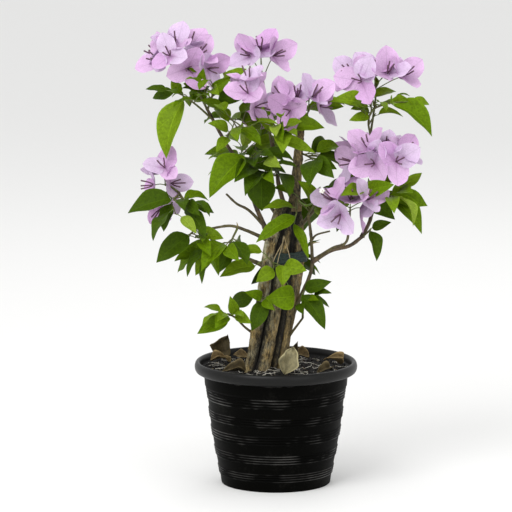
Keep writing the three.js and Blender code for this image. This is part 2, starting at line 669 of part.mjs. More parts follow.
// A bloom's solid, stalk and all, is a cylinder of three rows. The first two run along the
// stalk and are drawn together to a triangle, and the third is the rim, drawn out to the
// bracts' tips and shoulders and in to the notches between them.
function bloomSolid(bloom) {
  const perBract = 4;
  const rows = 2;
  const geometry = new THREE.CylinderGeometry(1, 1, 1, BRACTS * perBract, rows);
  const position = geometry.attributes.position;
  const spread = THREE.MathUtils.degToRad(BRACT_SPREAD);
  const bractTurn = 2 * Math.PI / BRACTS;
  for (let i = 0; i < position.count; i++) {
    const [x, y, z] = [position.getX(i), position.getY(i), position.getZ(i)];
    const row = Math.round((0.5 + y) * rows);
    const turn = Math.atan2(-z, x);
    const bract = Math.round(turn / bractTurn);
    const offset = turn - bract * bractTurn;
    const place = row === 0 ? bloom.foot.clone() : bloom.seat.clone();
    if (Math.hypot(x, z) < 0.5) {
      place.addScaledVector(bloom.axis, row === rows ? BLOOM_SEAT : 0);
    } else if (row < rows) {
      const corner = Math.floor((turn + Math.PI * 2 + 0.1) / bractTurn) * bractTurn;
      place.addScaledVector(bractHeading({ ...bloom, opening: Math.PI / 2 }, corner), TWIG_GIRTH / 2);
    } else {
      const isTip = Math.abs(offset) < 0.1;
      const isNotch = Math.abs(offset) > 0.9;
      const angle = isTip || isNotch ? turn : bract * bractTurn + Math.sign(offset) * spread;
      const reach = isTip ? 1 : isNotch ? BRACT_NOTCH : BRACT_SHOULDER;
      place.addScaledVector(bractHeading(bloom, angle), bloom.size * reach);
    }
    position.setXYZ(i, place.x, place.y, place.z);
  }
  return toSolid(geometry);
}

// Blooms are tried evenly over a dome round the stem's end, and one that would cut into
// another is left out. Their stalks are spaced along the stem.
function growBlooms(mass) {
  const rand = dice(mass.seed);
  const stem = curveThrough(mass.stem);
  const hub = vector(mass.stem.at(-1));
  const blooms = [];
  const rooms = [];
  const stalks = [];
  for (let i = 0; i < mass.tries; i++) {
    const height = 1 - DOME_DEPTH * (i + 0.5) / mass.tries;
    const turn = THREE.MathUtils.degToRad(GOLDEN_ANGLE * i) + Math.PI * 2 * rand();
    const level = Math.sqrt(1 - height * height);
    const way = new THREE.Vector3(Math.cos(turn) * level, Math.sin(turn) * level, height);
    const shell = THREE.MathUtils.lerp(...DOME_SHELL, rand());
    const seat = hub.clone().add(way.clone().multiply(vector(mass.spread)).multiplyScalar(shell));
    const foot = stem.getPoint(1 - 0.5 * i / mass.tries);
    const bloom = makeBloom(foot, seat, way.add(vector(mass.lean)).normalize(), rand);
    const blades = bractBlades(bloom);
    const room = blades.map((blade) => roomOf(blade));
    const stalk = pointsOfTwig(pedicel(bloom)).slice(2, -3);
    if (rooms.some((other) => room.some((part) => roomsMeet(part, other, BLOOM_MARGIN)))) continue;
    if (blades.some((blade) => touchesWood(blade, stalks))) continue;
    if (blooms.flatMap(bractBlades).some((blade) => touchesWood(blade, stalk))) continue;
    blooms.push(bloom);
    rooms.push(...room);
    stalks.push(...stalk);
  }
  return blooms;
}

// The stalk of one bloom
function pedicel({ foot, seat }) {
  return [foot, seat].map((point) => point.toArray());
}

// A blade stands for itself as a grid of points when its space is measured
function bladeGrid(blade, from = 0) {
  const rows = Math.ceil(blade.length / BLADE_GRID);
  const points = [];
  for (let row = Math.ceil(from * rows); row <= rows; row++) {
    const u = row / rows;
    const { half } = bladeAt(blade, u);
    const columns = Math.ceil(half / BLADE_GRID);
    for (let column = -columns; column <= columns; column++) {
      points.push(bladePoint(blade, u, columns ? half * column / columns : 0));
    }
  }
  return points;
}

// What a blade takes up: its points, and the ball round them
function roomOf(blade, from = 0) {
  const points = bladeGrid(blade, from);
  const middle = bladePoint(blade, 0.5, 0);
  const radius = Math.max(...points.map((point) => point.distanceTo(middle)));
  return { points, middle, radius };
}

function roomsMeet(a, b, margin) {
  if (a.middle.distanceTo(b.middle) > a.radius + b.radius + margin) return false;
  return a.points.some((p) => b.points.some((q) => p.distanceToSquared(q) < margin * margin));
}

// A wood point touches a blade where it lies over the blade's outline and close to its face
function touchesWood(blade, wood) {
  return wood.some(({ point, radius }) => {
    const offset = point.clone().sub(blade.base);
    const reach = radius + LIMB_MARGIN;
    const u = offset.dot(blade.axis) / blade.length;
    if (u < -reach / blade.length || u > 1 + reach / blade.length) return false;
    const { half, rise } = bladeAt(blade, THREE.MathUtils.clamp(u, 0, 1));
    const across = offset.dot(blade.side);
    if (Math.abs(across) > half + reach) return false;
    return Math.abs(offset.dot(blade.normal) - rise - blade.slope * Math.abs(across)) < reach + 1.5;
  });
}

function woodPoints() {
  const wood = [];
  for (const { route, girth } of [...CANES, ...Object.values(BOUGHS)]) {
    const points = pointsEvery(route, POINT_SPACING);
    points.forEach((point, i) => {
      wood.push({ point, radius: THREE.MathUtils.lerp(girth[0], girth[1], i / (points.length - 1)) / 2 });
    });
  }
  return wood;
}

function pointsOfTwig(route) {
  return pointsEvery(route, POINT_SPACING).map((point) => ({ point, radius: TWIG_GIRTH / 2 }));
}

// The stems of every mass but one
function stemPoints(except) {
  return Object.entries({ ...LEAF_MASSES, ...BLOOM_MASSES })
    .flatMap(([name, { stem }]) => (name === except ? [] : pointsOfTwig(stem)));
}

// The side twigs, flower stalks and large leaves' petioles of every mass but one
function twigPoints(masses, except) {
  return Object.entries(masses).flatMap(([name, { twigs, petioles = [] }]) => (
    name === except ? [] : [...twigs, ...petioles].flatMap(pointsOfTwig)));
}

// A shoot is left out where it would come near wood, another mass's stem or a large leaf
function shootIsFree(route, wood, blades) {
  const points = pointsEvery(route, 4);
  const clearOfWood = points.every((own) => (
    wood.every(({ point, radius }) => own.distanceTo(point) > radius + SHOOT_MARGIN)));
  const twig = points.map((point) => ({ point, radius: TWIG_GIRTH / 2 }));
  return clearOfWood && !blades.some((blade) => touchesWood(blade, twig));
}

// Grow everything: blooms and large leaves first, then the shoots, then their leaves.
// Each mass keeps to its own space: what would come near another's is left out.
function growMasses() {
  const masses = {};
  const wood = woodPoints();
  const rooms = {};
  const largeBlades = {};
  for (const [name, mass] of Object.entries(LEAF_MASSES)) {
    const large = largeLeaves(mass);
    const petioles = large.map(({ root, blade }) => [root, blade.base].map((point) => point.toArray()));
    masses[name] = { ...mass, twigs: [], petioles, allLeaves: large };
    rooms[name] = large.map(({ blade }) => roomOf(blade));
    largeBlades[name] = large.map(({ blade }) => blade);
  }
  const othersRooms = (name) => (
    Object.entries(rooms).flatMap(([other, list]) => (other === name ? [] : list)));
  for (const [name, mass] of Object.entries(BLOOM_MASSES)) {
    const otherTwigs = [...stemPoints(name), ...twigPoints(masses, name)];
    const inTheWay = [...wood, ...otherTwigs];
    const taken = othersRooms(name);
    const blades = Object.values(largeBlades).flat();
    const blooms = growBlooms(mass)
      .filter((bloom) => shootIsFree(pedicel(bloom), otherTwigs, blades))
      .filter((bloom) => bractBlades(bloom).every((blade) => (
        !touchesWood(blade, inTheWay)
        && !taken.some((room) => roomsMeet(room, roomOf(blade), BLADE_MARGIN)))));
    masses[name] = { ...mass, blooms, twigs: blooms.map(pedicel) };
    rooms[name] = blooms.flatMap(bractBlades).map((blade) => roomOf(blade));
    largeBlades[name] = blooms.flatMap(bractBlades);
  }
  for (const [name, mass] of Object.entries(LEAF_MASSES)) {
    const inTheWay = [...wood, ...stemPoints(name), ...twigPoints(masses, name)];
    const blades = Object.entries(largeBlades).flatMap(([other, list]) => (other === name ? [] : list));
    masses[name].twigs = growShoots(mass).filter((route) => shootIsFree(route, inTheWay, blades));
  }
  for (const [name, mass] of Object.entries(LEAF_MASSES)) {
    const rand = dice(mass.seed + 1);
    const inTheWay = [...wood, ...stemPoints(name), ...twigPoints(masses, name)];
    const ownWood = [mass.stem, ...masses[name].twigs].flatMap(pointsOfTwig);
    for (const leaf of masses[name].twigs.flatMap((route) => leavesOnShoot(route, mass, rand))) {
      const room = roomOf(leaf.blade);
      const ownTwigs = ownWood.filter(({ point }) => point.distanceTo(leaf.root) > PETIOLE_LENGTH);
      if (touchesWood(leaf.blade, [...inTheWay, ...ownTwigs])) continue;
      if (othersRooms(name).some((other) => roomsMeet(room, other, BLADE_MARGIN))) continue;
      const outer = roomOf(leaf.blade, 0.25);
      if (rooms[name].some((other) => roomsMeet(outer, other, OWN_MARGIN))) continue;
      rooms[name].push(room);
      masses[name].allLeaves.push(leaf);
    }
  }
  return masses;
}

// A mass's solid: its stem and twigs, with leaves and blooms fused on
function massSolid(mass, fatWood) {
  const solids = [taperedTwig(mass.stem, [TWIG_GIRTH * 1.15, TWIG_GIRTH], 3, STEM_STEP)];
  if (mass.leaves) {
    const girth = [TWIG_GIRTH, TWIG_GIRTH * 0.7];
    for (const route of mass.twigs) solids.push(taperedTwig(route, girth, 3, TWIG_STEP));
  }
  for (const leaf of mass.allLeaves ?? []) solids.push(leafSolid(leaf));
  for (const bloom of mass.blooms ?? []) solids.push(bloomSolid(bloom));
  return largestPiece(joined(solids).subtract(fatWood));
}

// The pot's inner wall, from the axis to the soil line
const POT_INSIDE = [
  [0, POT_FLOOR],
  [POT_FOOT_RADIUS - POT_WALL - 2, POT_FLOOR],
  [POT_BODY_RADIUS - POT_WALL - 4, SHOULDER_HEIGHT],
  [LIP_INNER_RADIUS - 4, SOIL_LEVEL],
];

// Pot: the profile runs up the inside from the axis, over the rolled lip and down the
// ribbed outside
function potSolid() {
  const wallTop = POT_BODY_RADIUS - SHOULDER_STEP - 2;
  const slope = (height) => THREE.MathUtils.lerp(POT_FOOT_RADIUS, wallTop, height / SHOULDER_HEIGHT);
  const profile = POT_INSIDE.map(([radius, height]) => [radius, height]);
  const lipMiddle = (LIP_INNER_RADIUS + LIP_RADIUS) / 2;
  const lipRadius = (LIP_RADIUS - LIP_INNER_RADIUS) / 2;
  const lipTop = POT_HEIGHT - LIP_ROUNDING;
  for (let i = 0; i <= LIP_FACETS; i++) {
    const angle = Math.PI * (1 - i / LIP_FACETS);
    profile.push([lipMiddle + lipRadius * Math.cos(angle), lipTop + LIP_ROUNDING * Math.sin(angle)]);
  }
  profile.push([LIP_RADIUS - 1, POT_HEIGHT - LIP_DEPTH + 3]);
  profile.push([LIP_RADIUS - LIP_UNDERCUT, POT_HEIGHT - LIP_DEPTH]);
  profile.push([POT_BODY_RADIUS, POT_HEIGHT - LIP_DEPTH]);
  profile.push([POT_BODY_RADIUS - SHOULDER_STEP, SHOULDER_HEIGHT]);
  for (let group = 0; group < RIB_GROUPS; group++) {
    const top = SHOULDER_HEIGHT - RIBS_BELOW_SHOULDER - RIB_GROUP_PITCH * group;
    const foot = top - RIB_GROUP_HEIGHT;
    profile.push([slope(top), top]);
    profile.push([slope(top) + RIB_DEPTH, top - RIB_EDGE]);
    profile.push([slope(foot) + RIB_DEPTH, foot + RIB_EDGE]);
    profile.push([slope(foot), foot]);
  }
  profile.push([POT_FOOT_RADIUS, FOOT_CHAMFER]);
  profile.push([POT_FOOT_RADIUS - FOOT_CHAMFER, 0]);
  profile.push([0, 0]);
  const points = profile.reverse().map(([x, y]) => new THREE.Vector2(Math.max(0, x), y));
  return toSolid(new THREE.LatheGeometry(points, POT_SIDES).rotateX(Math.PI / 2));
}

// Soil: fills the pot to a little below its rim, lumpy away from the trunk
function soilSolid() {
  const clearance = GAP * 1.3;
  const wallPoints = POT_INSIDE.slice(0, 3).map(([radius, height]) => [
    Math.max(0, radius - clearance),
    Math.max(height, POT_FLOOR + clearance),
  ]);
  const top = SOIL_LEVEL - 1;
  const profile = [
    ...wallPoints,
    [LIP_INNER_RADIUS - 4.5 - clearance, top],
    [90, top],
    [68, top],
    [SOIL_LEVEL_RADIUS, SOIL_LEVEL - GAP],
    [0, SOIL_LEVEL - GAP],
  ];
  const points = profile.map(([x, y]) => new THREE.Vector2(x, y));
  const geometry = new THREE.LatheGeometry(points, POT_SIDES).rotateX(Math.PI / 2);
  const position = geometry.attributes.position;
  const [innermost, outermost] = SOIL_LUMP_RADII;
  for (let i = 0; i < position.count; i++) {
    const [x, y, z] = [position.getX(i), position.getY(i), position.getZ(i)];
    const radius = Math.hypot(x, y);
    if (z < top - 1 || radius < innermost || radius > outermost) continue;
    const lump = Math.sin(x * SOIL_LUMPS[0] + 1) * Math.cos(y * SOIL_LUMPS[1]);
    position.setZ(i, z + SOIL_LUMP * lump);
  }
  return toSolid(geometry);
}

// Tie: a band of tape round the canes, wound where they close up
function tieSolid(fatTrunk) {
  const { centre, radii, wall, height, tilt } = TIE;
  const drum = (inset, tall) => toSolid(new THREE.CylinderGeometry(1, 1, tall, 24, 1)
    .rotateX(Math.PI / 2)
    .scale(radii[0] - inset, radii[1] - inset, 1));
  const ring = drum(0, height).subtract(drum(wall, height * 2));
  return largestPiece(ring.rotate(tilt).translate(centre).subtract(fatTrunk));
}

function toMesh(name, solid, material) {
  const { vertProperties, triVerts } = solid.getMesh();
  const geometry = new THREE.BufferGeometry();
  geometry.setAttribute('position', new THREE.BufferAttribute(new Float32Array(vertProperties), 3));
  geometry.setIndex(new THREE.BufferAttribute(new Uint32Array(triVerts), 1));
  const mesh = new THREE.Mesh(toCreasedNormals(geometry, 0.7), material);
  mesh.name = name;
  return mesh;
}

const plant = new THREE.Group();
const trunk = trunkSolid(0);
const fatTrunk = trunkSolid(GAP);

plant.add(toMesh('pot', potSolid(), MATERIALS.pot));
plant.add(toMesh('soil', soilSolid(), MATERIALS.soil));
plant.add(toMesh('trunk', trunk, MATERIALS.bark));
plant.add(toMesh('tie_band', tieSolid(fatTrunk), MATERIALS.tie));

// Each bough is cut clear of the wood already in place
let fatWood = fatTrunk;
for (const [name, { route, girth }] of Object.entries(BOUGHS)) {
  const bough = largestPiece(taperedTwig(route, girth, BOUGH_SIDES, BOUGH_STEP).subtract(fatWood));
  fatWood = joined([fatWood, taperedTwig(route, girth, BOUGH_SIDES, BOUGH_STEP, GAP)]);
  plant.add(toMesh(name, bough, girth[1] > 4.3 ? MATERIALS.bark : MATERIALS.greenWood));
}

for (const [name, mass] of Object.entries(growMasses())) {
  plant.add(toMesh(name, massSolid(mass, fatWood), MATERIALS[mass.tone ?? 'bract']));
}

export default plant;
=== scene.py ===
"""A potted bougainvillea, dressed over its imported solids.

Canes and boughs follow the routes of the part's own source. Each leaf mass and bloom mass of the
source becomes single leaves or blooms here. They grow by the source's rule from nearly the same
stems and seeds, and are carried on to finer twigs and to every leaf.

Routes and sizes in the tables are in millimetres: x runs to the right, y to the back and z up.
What a user would change is in the property groups, where lengths are in metres.
"""

import functools
import math

import bmesh
import bpy
import numpy as np
from bpy.props import FloatProperty, FloatVectorProperty, IntProperty
from mathutils import Matrix, Vector, noise


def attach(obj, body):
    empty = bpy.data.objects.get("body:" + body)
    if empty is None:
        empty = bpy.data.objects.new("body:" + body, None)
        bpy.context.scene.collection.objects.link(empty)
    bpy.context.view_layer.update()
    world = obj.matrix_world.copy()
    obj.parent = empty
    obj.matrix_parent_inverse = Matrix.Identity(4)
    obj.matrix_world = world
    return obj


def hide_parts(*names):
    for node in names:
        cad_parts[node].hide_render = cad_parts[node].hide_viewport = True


bl_info = {
    "name": "Potted bougainvillea",
    "version": (1, 0, 0),
    "blender": (4, 5, 0),
    "location": "View3D > Sidebar > Bougainvillea",
    "description": "Builds a potted bougainvillea bush from named sizes and colours",
    "category": "Add Mesh",
}

MM = 0.001
UP = np.array([0.0, 0.0, 1.0])

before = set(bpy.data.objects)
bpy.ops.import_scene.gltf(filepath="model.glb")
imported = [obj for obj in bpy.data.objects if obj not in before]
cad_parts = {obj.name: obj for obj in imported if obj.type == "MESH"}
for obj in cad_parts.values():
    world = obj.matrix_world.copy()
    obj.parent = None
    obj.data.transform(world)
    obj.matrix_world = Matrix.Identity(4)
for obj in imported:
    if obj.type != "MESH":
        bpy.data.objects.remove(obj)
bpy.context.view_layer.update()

# The camera's lens in mm, its tilt in degrees, and its distance, place and aim in metres
CAMERA_LENS = 309.4
CAMERA_DOWN = 9.6
CAMERA_AWAY = 6.75
CAMERA_SIDE = -0.0307
CAMERA_AIM = 0.353127  # the height that it looks at

# Lamps: place and size in metres. The rim lamp's power is a share of the fill lamp's.
LAMPS = {
    "key": ((-1.1, -1.8, 2.4), 1.6),
    "fill": ((1.8, -2.4, 1.3), 1.8),
    "rim": ((0.6, 2.0, 2.2), 1.4),
}
LAMP_AIM = Vector((0.0, 0.0, 0.45))
RIM_SHARE = 0.7
WORLD_STRENGTH = 0.92

# The pot's section as radius and height: its underside from the middle out, its wall from the foot
# to the plain band under the lip, and its inside from the lip down
POT_UNDERSIDE = [(0, 4), (74, 4), (76, 0), (83, 0)]
POT_WALL = [
    (84, 0), (85.5, 11), (91, 40), (95.2, 62), (99, 84),
    (102.4, 110), (104.4, 129), (107.2, 149), (109.6, 153), (111, 172),
]
POT_INSIDE = [(115.4, 177), (110.5, 173), (108, 166), (105.5, 154), (97, 110)]
POT_STEPS = 144  # faces round the pot
WALL_STEP = 0.5  # height of each face of the ribbed wall
RIB_GROUPS = [(150, 132), (119, 103), (91, 74), (60, 44), (30, 15)]  # the top and foot of each
RIBS_IN_GROUP = 4
RIB_DEPTH = 1.3
RIB_SHARPNESS = 4
LIP_MIDDLE = (120.5, 181.5)
LIP_ROUND = (4.7, 8.6)  # the rolled lip's half-width and half-height
LIP_SHEEN = 0.26  # how polished the lip is, where a rib's crest is 1

# The bed of potting mix: lumpy all over, and heaped round the canes
SOIL_LEVEL = 177.0
SOIL_RADIUS = 113.5
SOIL_CELLS = 170  # faces across the bed
SOIL_SKIRT = 12  # how far the bed's edge is turned down
SKIRT_SHARE = 0.93  # and how far it is drawn in
LUMPS_PER_MM = 0.045
HEAP_MIDDLE = (-6, -6)
HEAP_HEIGHT = 3.5
HEAP_SPREAD = 1800
EDGE_FALL = 2.5  # how far the bed falls off at the pot's wall
CHIP_REACH = 111  # how far out a chip may lie
CHIP_SEED = 11

# How chips differ: their length, breadth and thickness as shares, and how rough they are
CHIP_LENGTH = (0.35, 1)
CHIP_BREADTH = (0.3, 0.7)
CHIP_THICKNESS = (0.5, 1.5)
CHIP_ROUGHNESS = 0.35

# Dry fibres: how far out they start and reach, how many, their length, and their girth at both ends
FIBRE_PLACE = (18, 106)
FIBRE_REACH = 112
FIBRES = 110
FIBRE_LENGTH = (8, 30)
FIBRE_GIRTH = (1.1, 0.6)

# Loose bits: share of all the chips, longest side, flatness, and darkest and palest colour
BITS = {
    "bark_chips_dark": (0.8, 11.0, 0.4, "#040303", "#130e09"),
    "bark_chips_tan": (0.12, 9.0, 0.3, "#1f170f", "#4a3a28"),
    "dry_scraps": (0.05, 9.0, 0.16, "#75674f", "#b5a687"),
    "perlite_grains": (0.03, 3.0, 0.8, "#a9a69c", "#dcd9d0"),
}

# Leaves that lie withered on the soil: foot, tip, width share, how hard it curls, and finish
LITTER = [
    ((-90, 54, 188), (-75, 47, 221), 0.86, 0.6, "withered_brown"),
    ((-100, 24, 184), (-74, 22, 188), 0.5, 1.6, "withered_tan"),
    ((-70, 26, 182), (-82, 30, 190), 0.6, 0.8, "withered_tan"),
    ((12, -62, 180), (26, -46, 220), 0.64, 0.9, "withered_pale"),
    ((22, 42, 182), (34, 36, 212), 0.7, 1.5, "withered_brown"),
    ((99, -4, 184), (74, -14, 195), 0.5, 1.7, "withered_tan"),
    ((-48, -52, 182), (-84, -66, 184), 0.5, 1.3, "withered_brown"),
    ((62, -60, 182), (86, -44, 186), 0.5, 1.2, "withered_brown"),
    ((52, 66, 182), (30, 76, 186), 0.6, 1.0, "withered_tan"),
    ((-44, 68, 182), (-66, 78, 184), 0.6, 0.6, "withered_tan"),
]
LITTER_COLOURS = {"withered_brown": "#564a2e", "withered_tan": "#86724c", "withered_pale": "#98906d"}
LITTER_FACING = (0.2, -0.7, 0.6)
LITTER_THICKNESS = 0.5
LITTER_SEED = 23

# The trunk: four canes that part above the soil and close again under the fork. Each has the route
# of its middle, and its girth at the foot and at the top.
CANES = [
    {
        "route": [
            (-41, -26, 178), (-33, -21, 222), (-20, -14, 295),
            (-10, -8, 362), (2, -4, 408), (12, -1, 434),
        ],
        "girth": (18, 17),
    },
    {
        "route": [(-22, -30, 178), (-10, -24, 224), (2, -12, 290), (11, -3, 350), (18, 1, 400), (20, 3, 436)],
        "girth": (20, 18),
    },
    {
        "route": [(4, -4, 178), (14, -4, 230), (27, 1, 300), (33, 4, 352), (32, 6, 398), (26, 5, 432)],
        "girth": (19, 17),
    },
    {
        "route": [(-16, 14, 178), (0, 16, 240), (14, 16, 308), (21, 13, 370), (24, 8, 426)],
        "girth": (17, 15),
    },
]

# Old wood between the canes, so that they stand fused, with clefts darkened by painted shade
INNER_WOOD = [
    {
        "route": [(-31, -18, 176), (-21, -14, 222), (-9, -8, 292), (1, -2, 360), (10, 0, 424)],
        "girth": (14, 13),
    },
    {
        "route": [(-8, -16, 176), (4, -12, 228), (14, -5, 296), (22, 0, 352), (24, 2, 424)],
        "girth": (15, 13),
    },
]

# How a cane flares at its foot and is fluted, as shares of its girth
FLARE = 0.14
FLARE_HEIGHT = 18
FLUTE = 0.12
SLIMMER = 0.14  # what a cane gives up at its foot to the clefts beside it
KNOTS = 0.07
CANE_ROOT = 4  # how far a cane goes into the soil

# How a bough swells, as shares of its girth: a collar where it leaves its parent, and old leaf scars
COLLAR, COLLAR_LENGTH = 0.45, 9
SCARS, SCAR_WAVE = 0.1, 5.2

# A bough stouter than this at its foot has old bark, and one stouter than this at its tip has brown
STOUT_FOOT, BROWN_TIP = 8, 4.3

# The furrows of the bark: how quickly they change round a cane and up it, and the girth they are for
FURROWS_ROUND, FURROWS_UP, FURROWS_GIRTH = 1.5, 0.045, 18
CANE_RADIUS = 9.5  # two canes meet where a point is this far from the other's middle
CREVICE_WIDTH = 12.0  # and their bark is in shade this far off

# The netting round the trunk, wound with a tilt in degrees, and the dry threads that hang over it
TIE = {"centre": (19, 5, 352), "radii": (29.5, 22), "height": 17, "tilt": 4, "thickness": 0.9}
THREAD_GIRTH = (1.7, 1.3)
THREADS = [
    [(12, -26, 389), (9, -29, 374), (5, -29, 360), (2, -28, 346)],
    [(12, -26, 389), (16, -29, 374), (20, -29, 360), (23, -28, 346)],
    [(9, -27, 376), (1, -29, 362), (-5, -28, 348)],
]

# The boughs: the route of each one's middle, and its girth at the foot and at the tip
BOUGHS = {
    "bough_centre": {
        "route": [(27, 5, 424), (31, 3, 470), (35, 0, 520), (38, -4, 556)],
        "girth": (17.5, 10.5),
    },
    "bough_middle": {
        "route": [(14, 0, 426), (4, -2, 464), (1, -4, 492), (-6, -12, 534)],
        "girth": (7, 4.6),
    },
    "bough_back_middle": {"route": [(2, -2, 482), (-6, 12, 520), (-15, 28, 580)], "girth": (4.8, 3.8)},
    "bough_top_left": {
        "route": [(-14, -7, 392), (-33, -13, 438), (-46, -14, 484), (-76, -14, 529), (-106, -14, 584)],
        "girth": (7, 4.4),
    },
    "bough_left_middle": {
        "route": [(-14, -8, 380), (-46, -24, 397), (-70, -31, 405), (-98, -36, 402)],
        "girth": (5.4, 3.4),
    },
    "stub_left": {
        "route": [(-15, -7, 398), (-41, -22, 427), (-60, -30, 439), (-76, -36, 455)],
        "girth": (4.6, 3),
    },
    "bough_left_low": {
        "route": [(-14, -9, 338), (-55, -26, 358), (-87, -36, 375), (-120, -42, 414), (-149, -42, 459)],
        "girth": (6.4, 4),
    },
    "bough_right": {
        "route": [(22, -1, 254), (41, -6, 298), (54, -10, 334), (54, -12, 380), (49, -12, 420)],
        "girth": (6.4, 4),
    },
    "bough_right_reach": {
        "route": [(55, -11, 346), (84, -15, 364), (112, -18, 372), (132, -21, 387)],
        "girth": (6.2, 5.2),
    },
    "bough_right_top": {
        "route": [(131, -21, 386), (144, -18, 413), (151, -6, 449), (147, 8, 500), (145, 20, 541)],
        "girth": (5.6, 4.4),
    },
    "bough_right_fork": {
        "route": [(60, -11, 350), (86, -28, 370), (107, -40, 382), (111, -48, 415)],
        "girth": (4.6, 3.4),
    },
    "stub_right": {"route": [(53, -12, 378), (62, -18, 389), (82, -26, 396)], "girth": (3.2, 2.4)},
    "twig_low_left": {"route": [(-29, -19, 232), (-47, -24, 246), (-60, -31, 261)], "girth": (3.8, 2.8)},
    "twig_low_right": {"route": [(15, -3, 222), (32, -10, 246), (41, -14, 259)], "girth": (3.8, 2.8)},
    "bough_back_left": {"route": [(14, 12, 396), (-14, 40, 432), (-42, 66, 468)], "girth": (6, 4)},
    "bough_back_right": {"route": [(30, 12, 388), (58, 44, 416), (84, 66, 438)], "girth": (6, 4)},
    "bough_back_top": {"route": [(35, 2, 508), (40, 30, 534), (44, 54, 552)], "girth": (5, 3.8)},
}

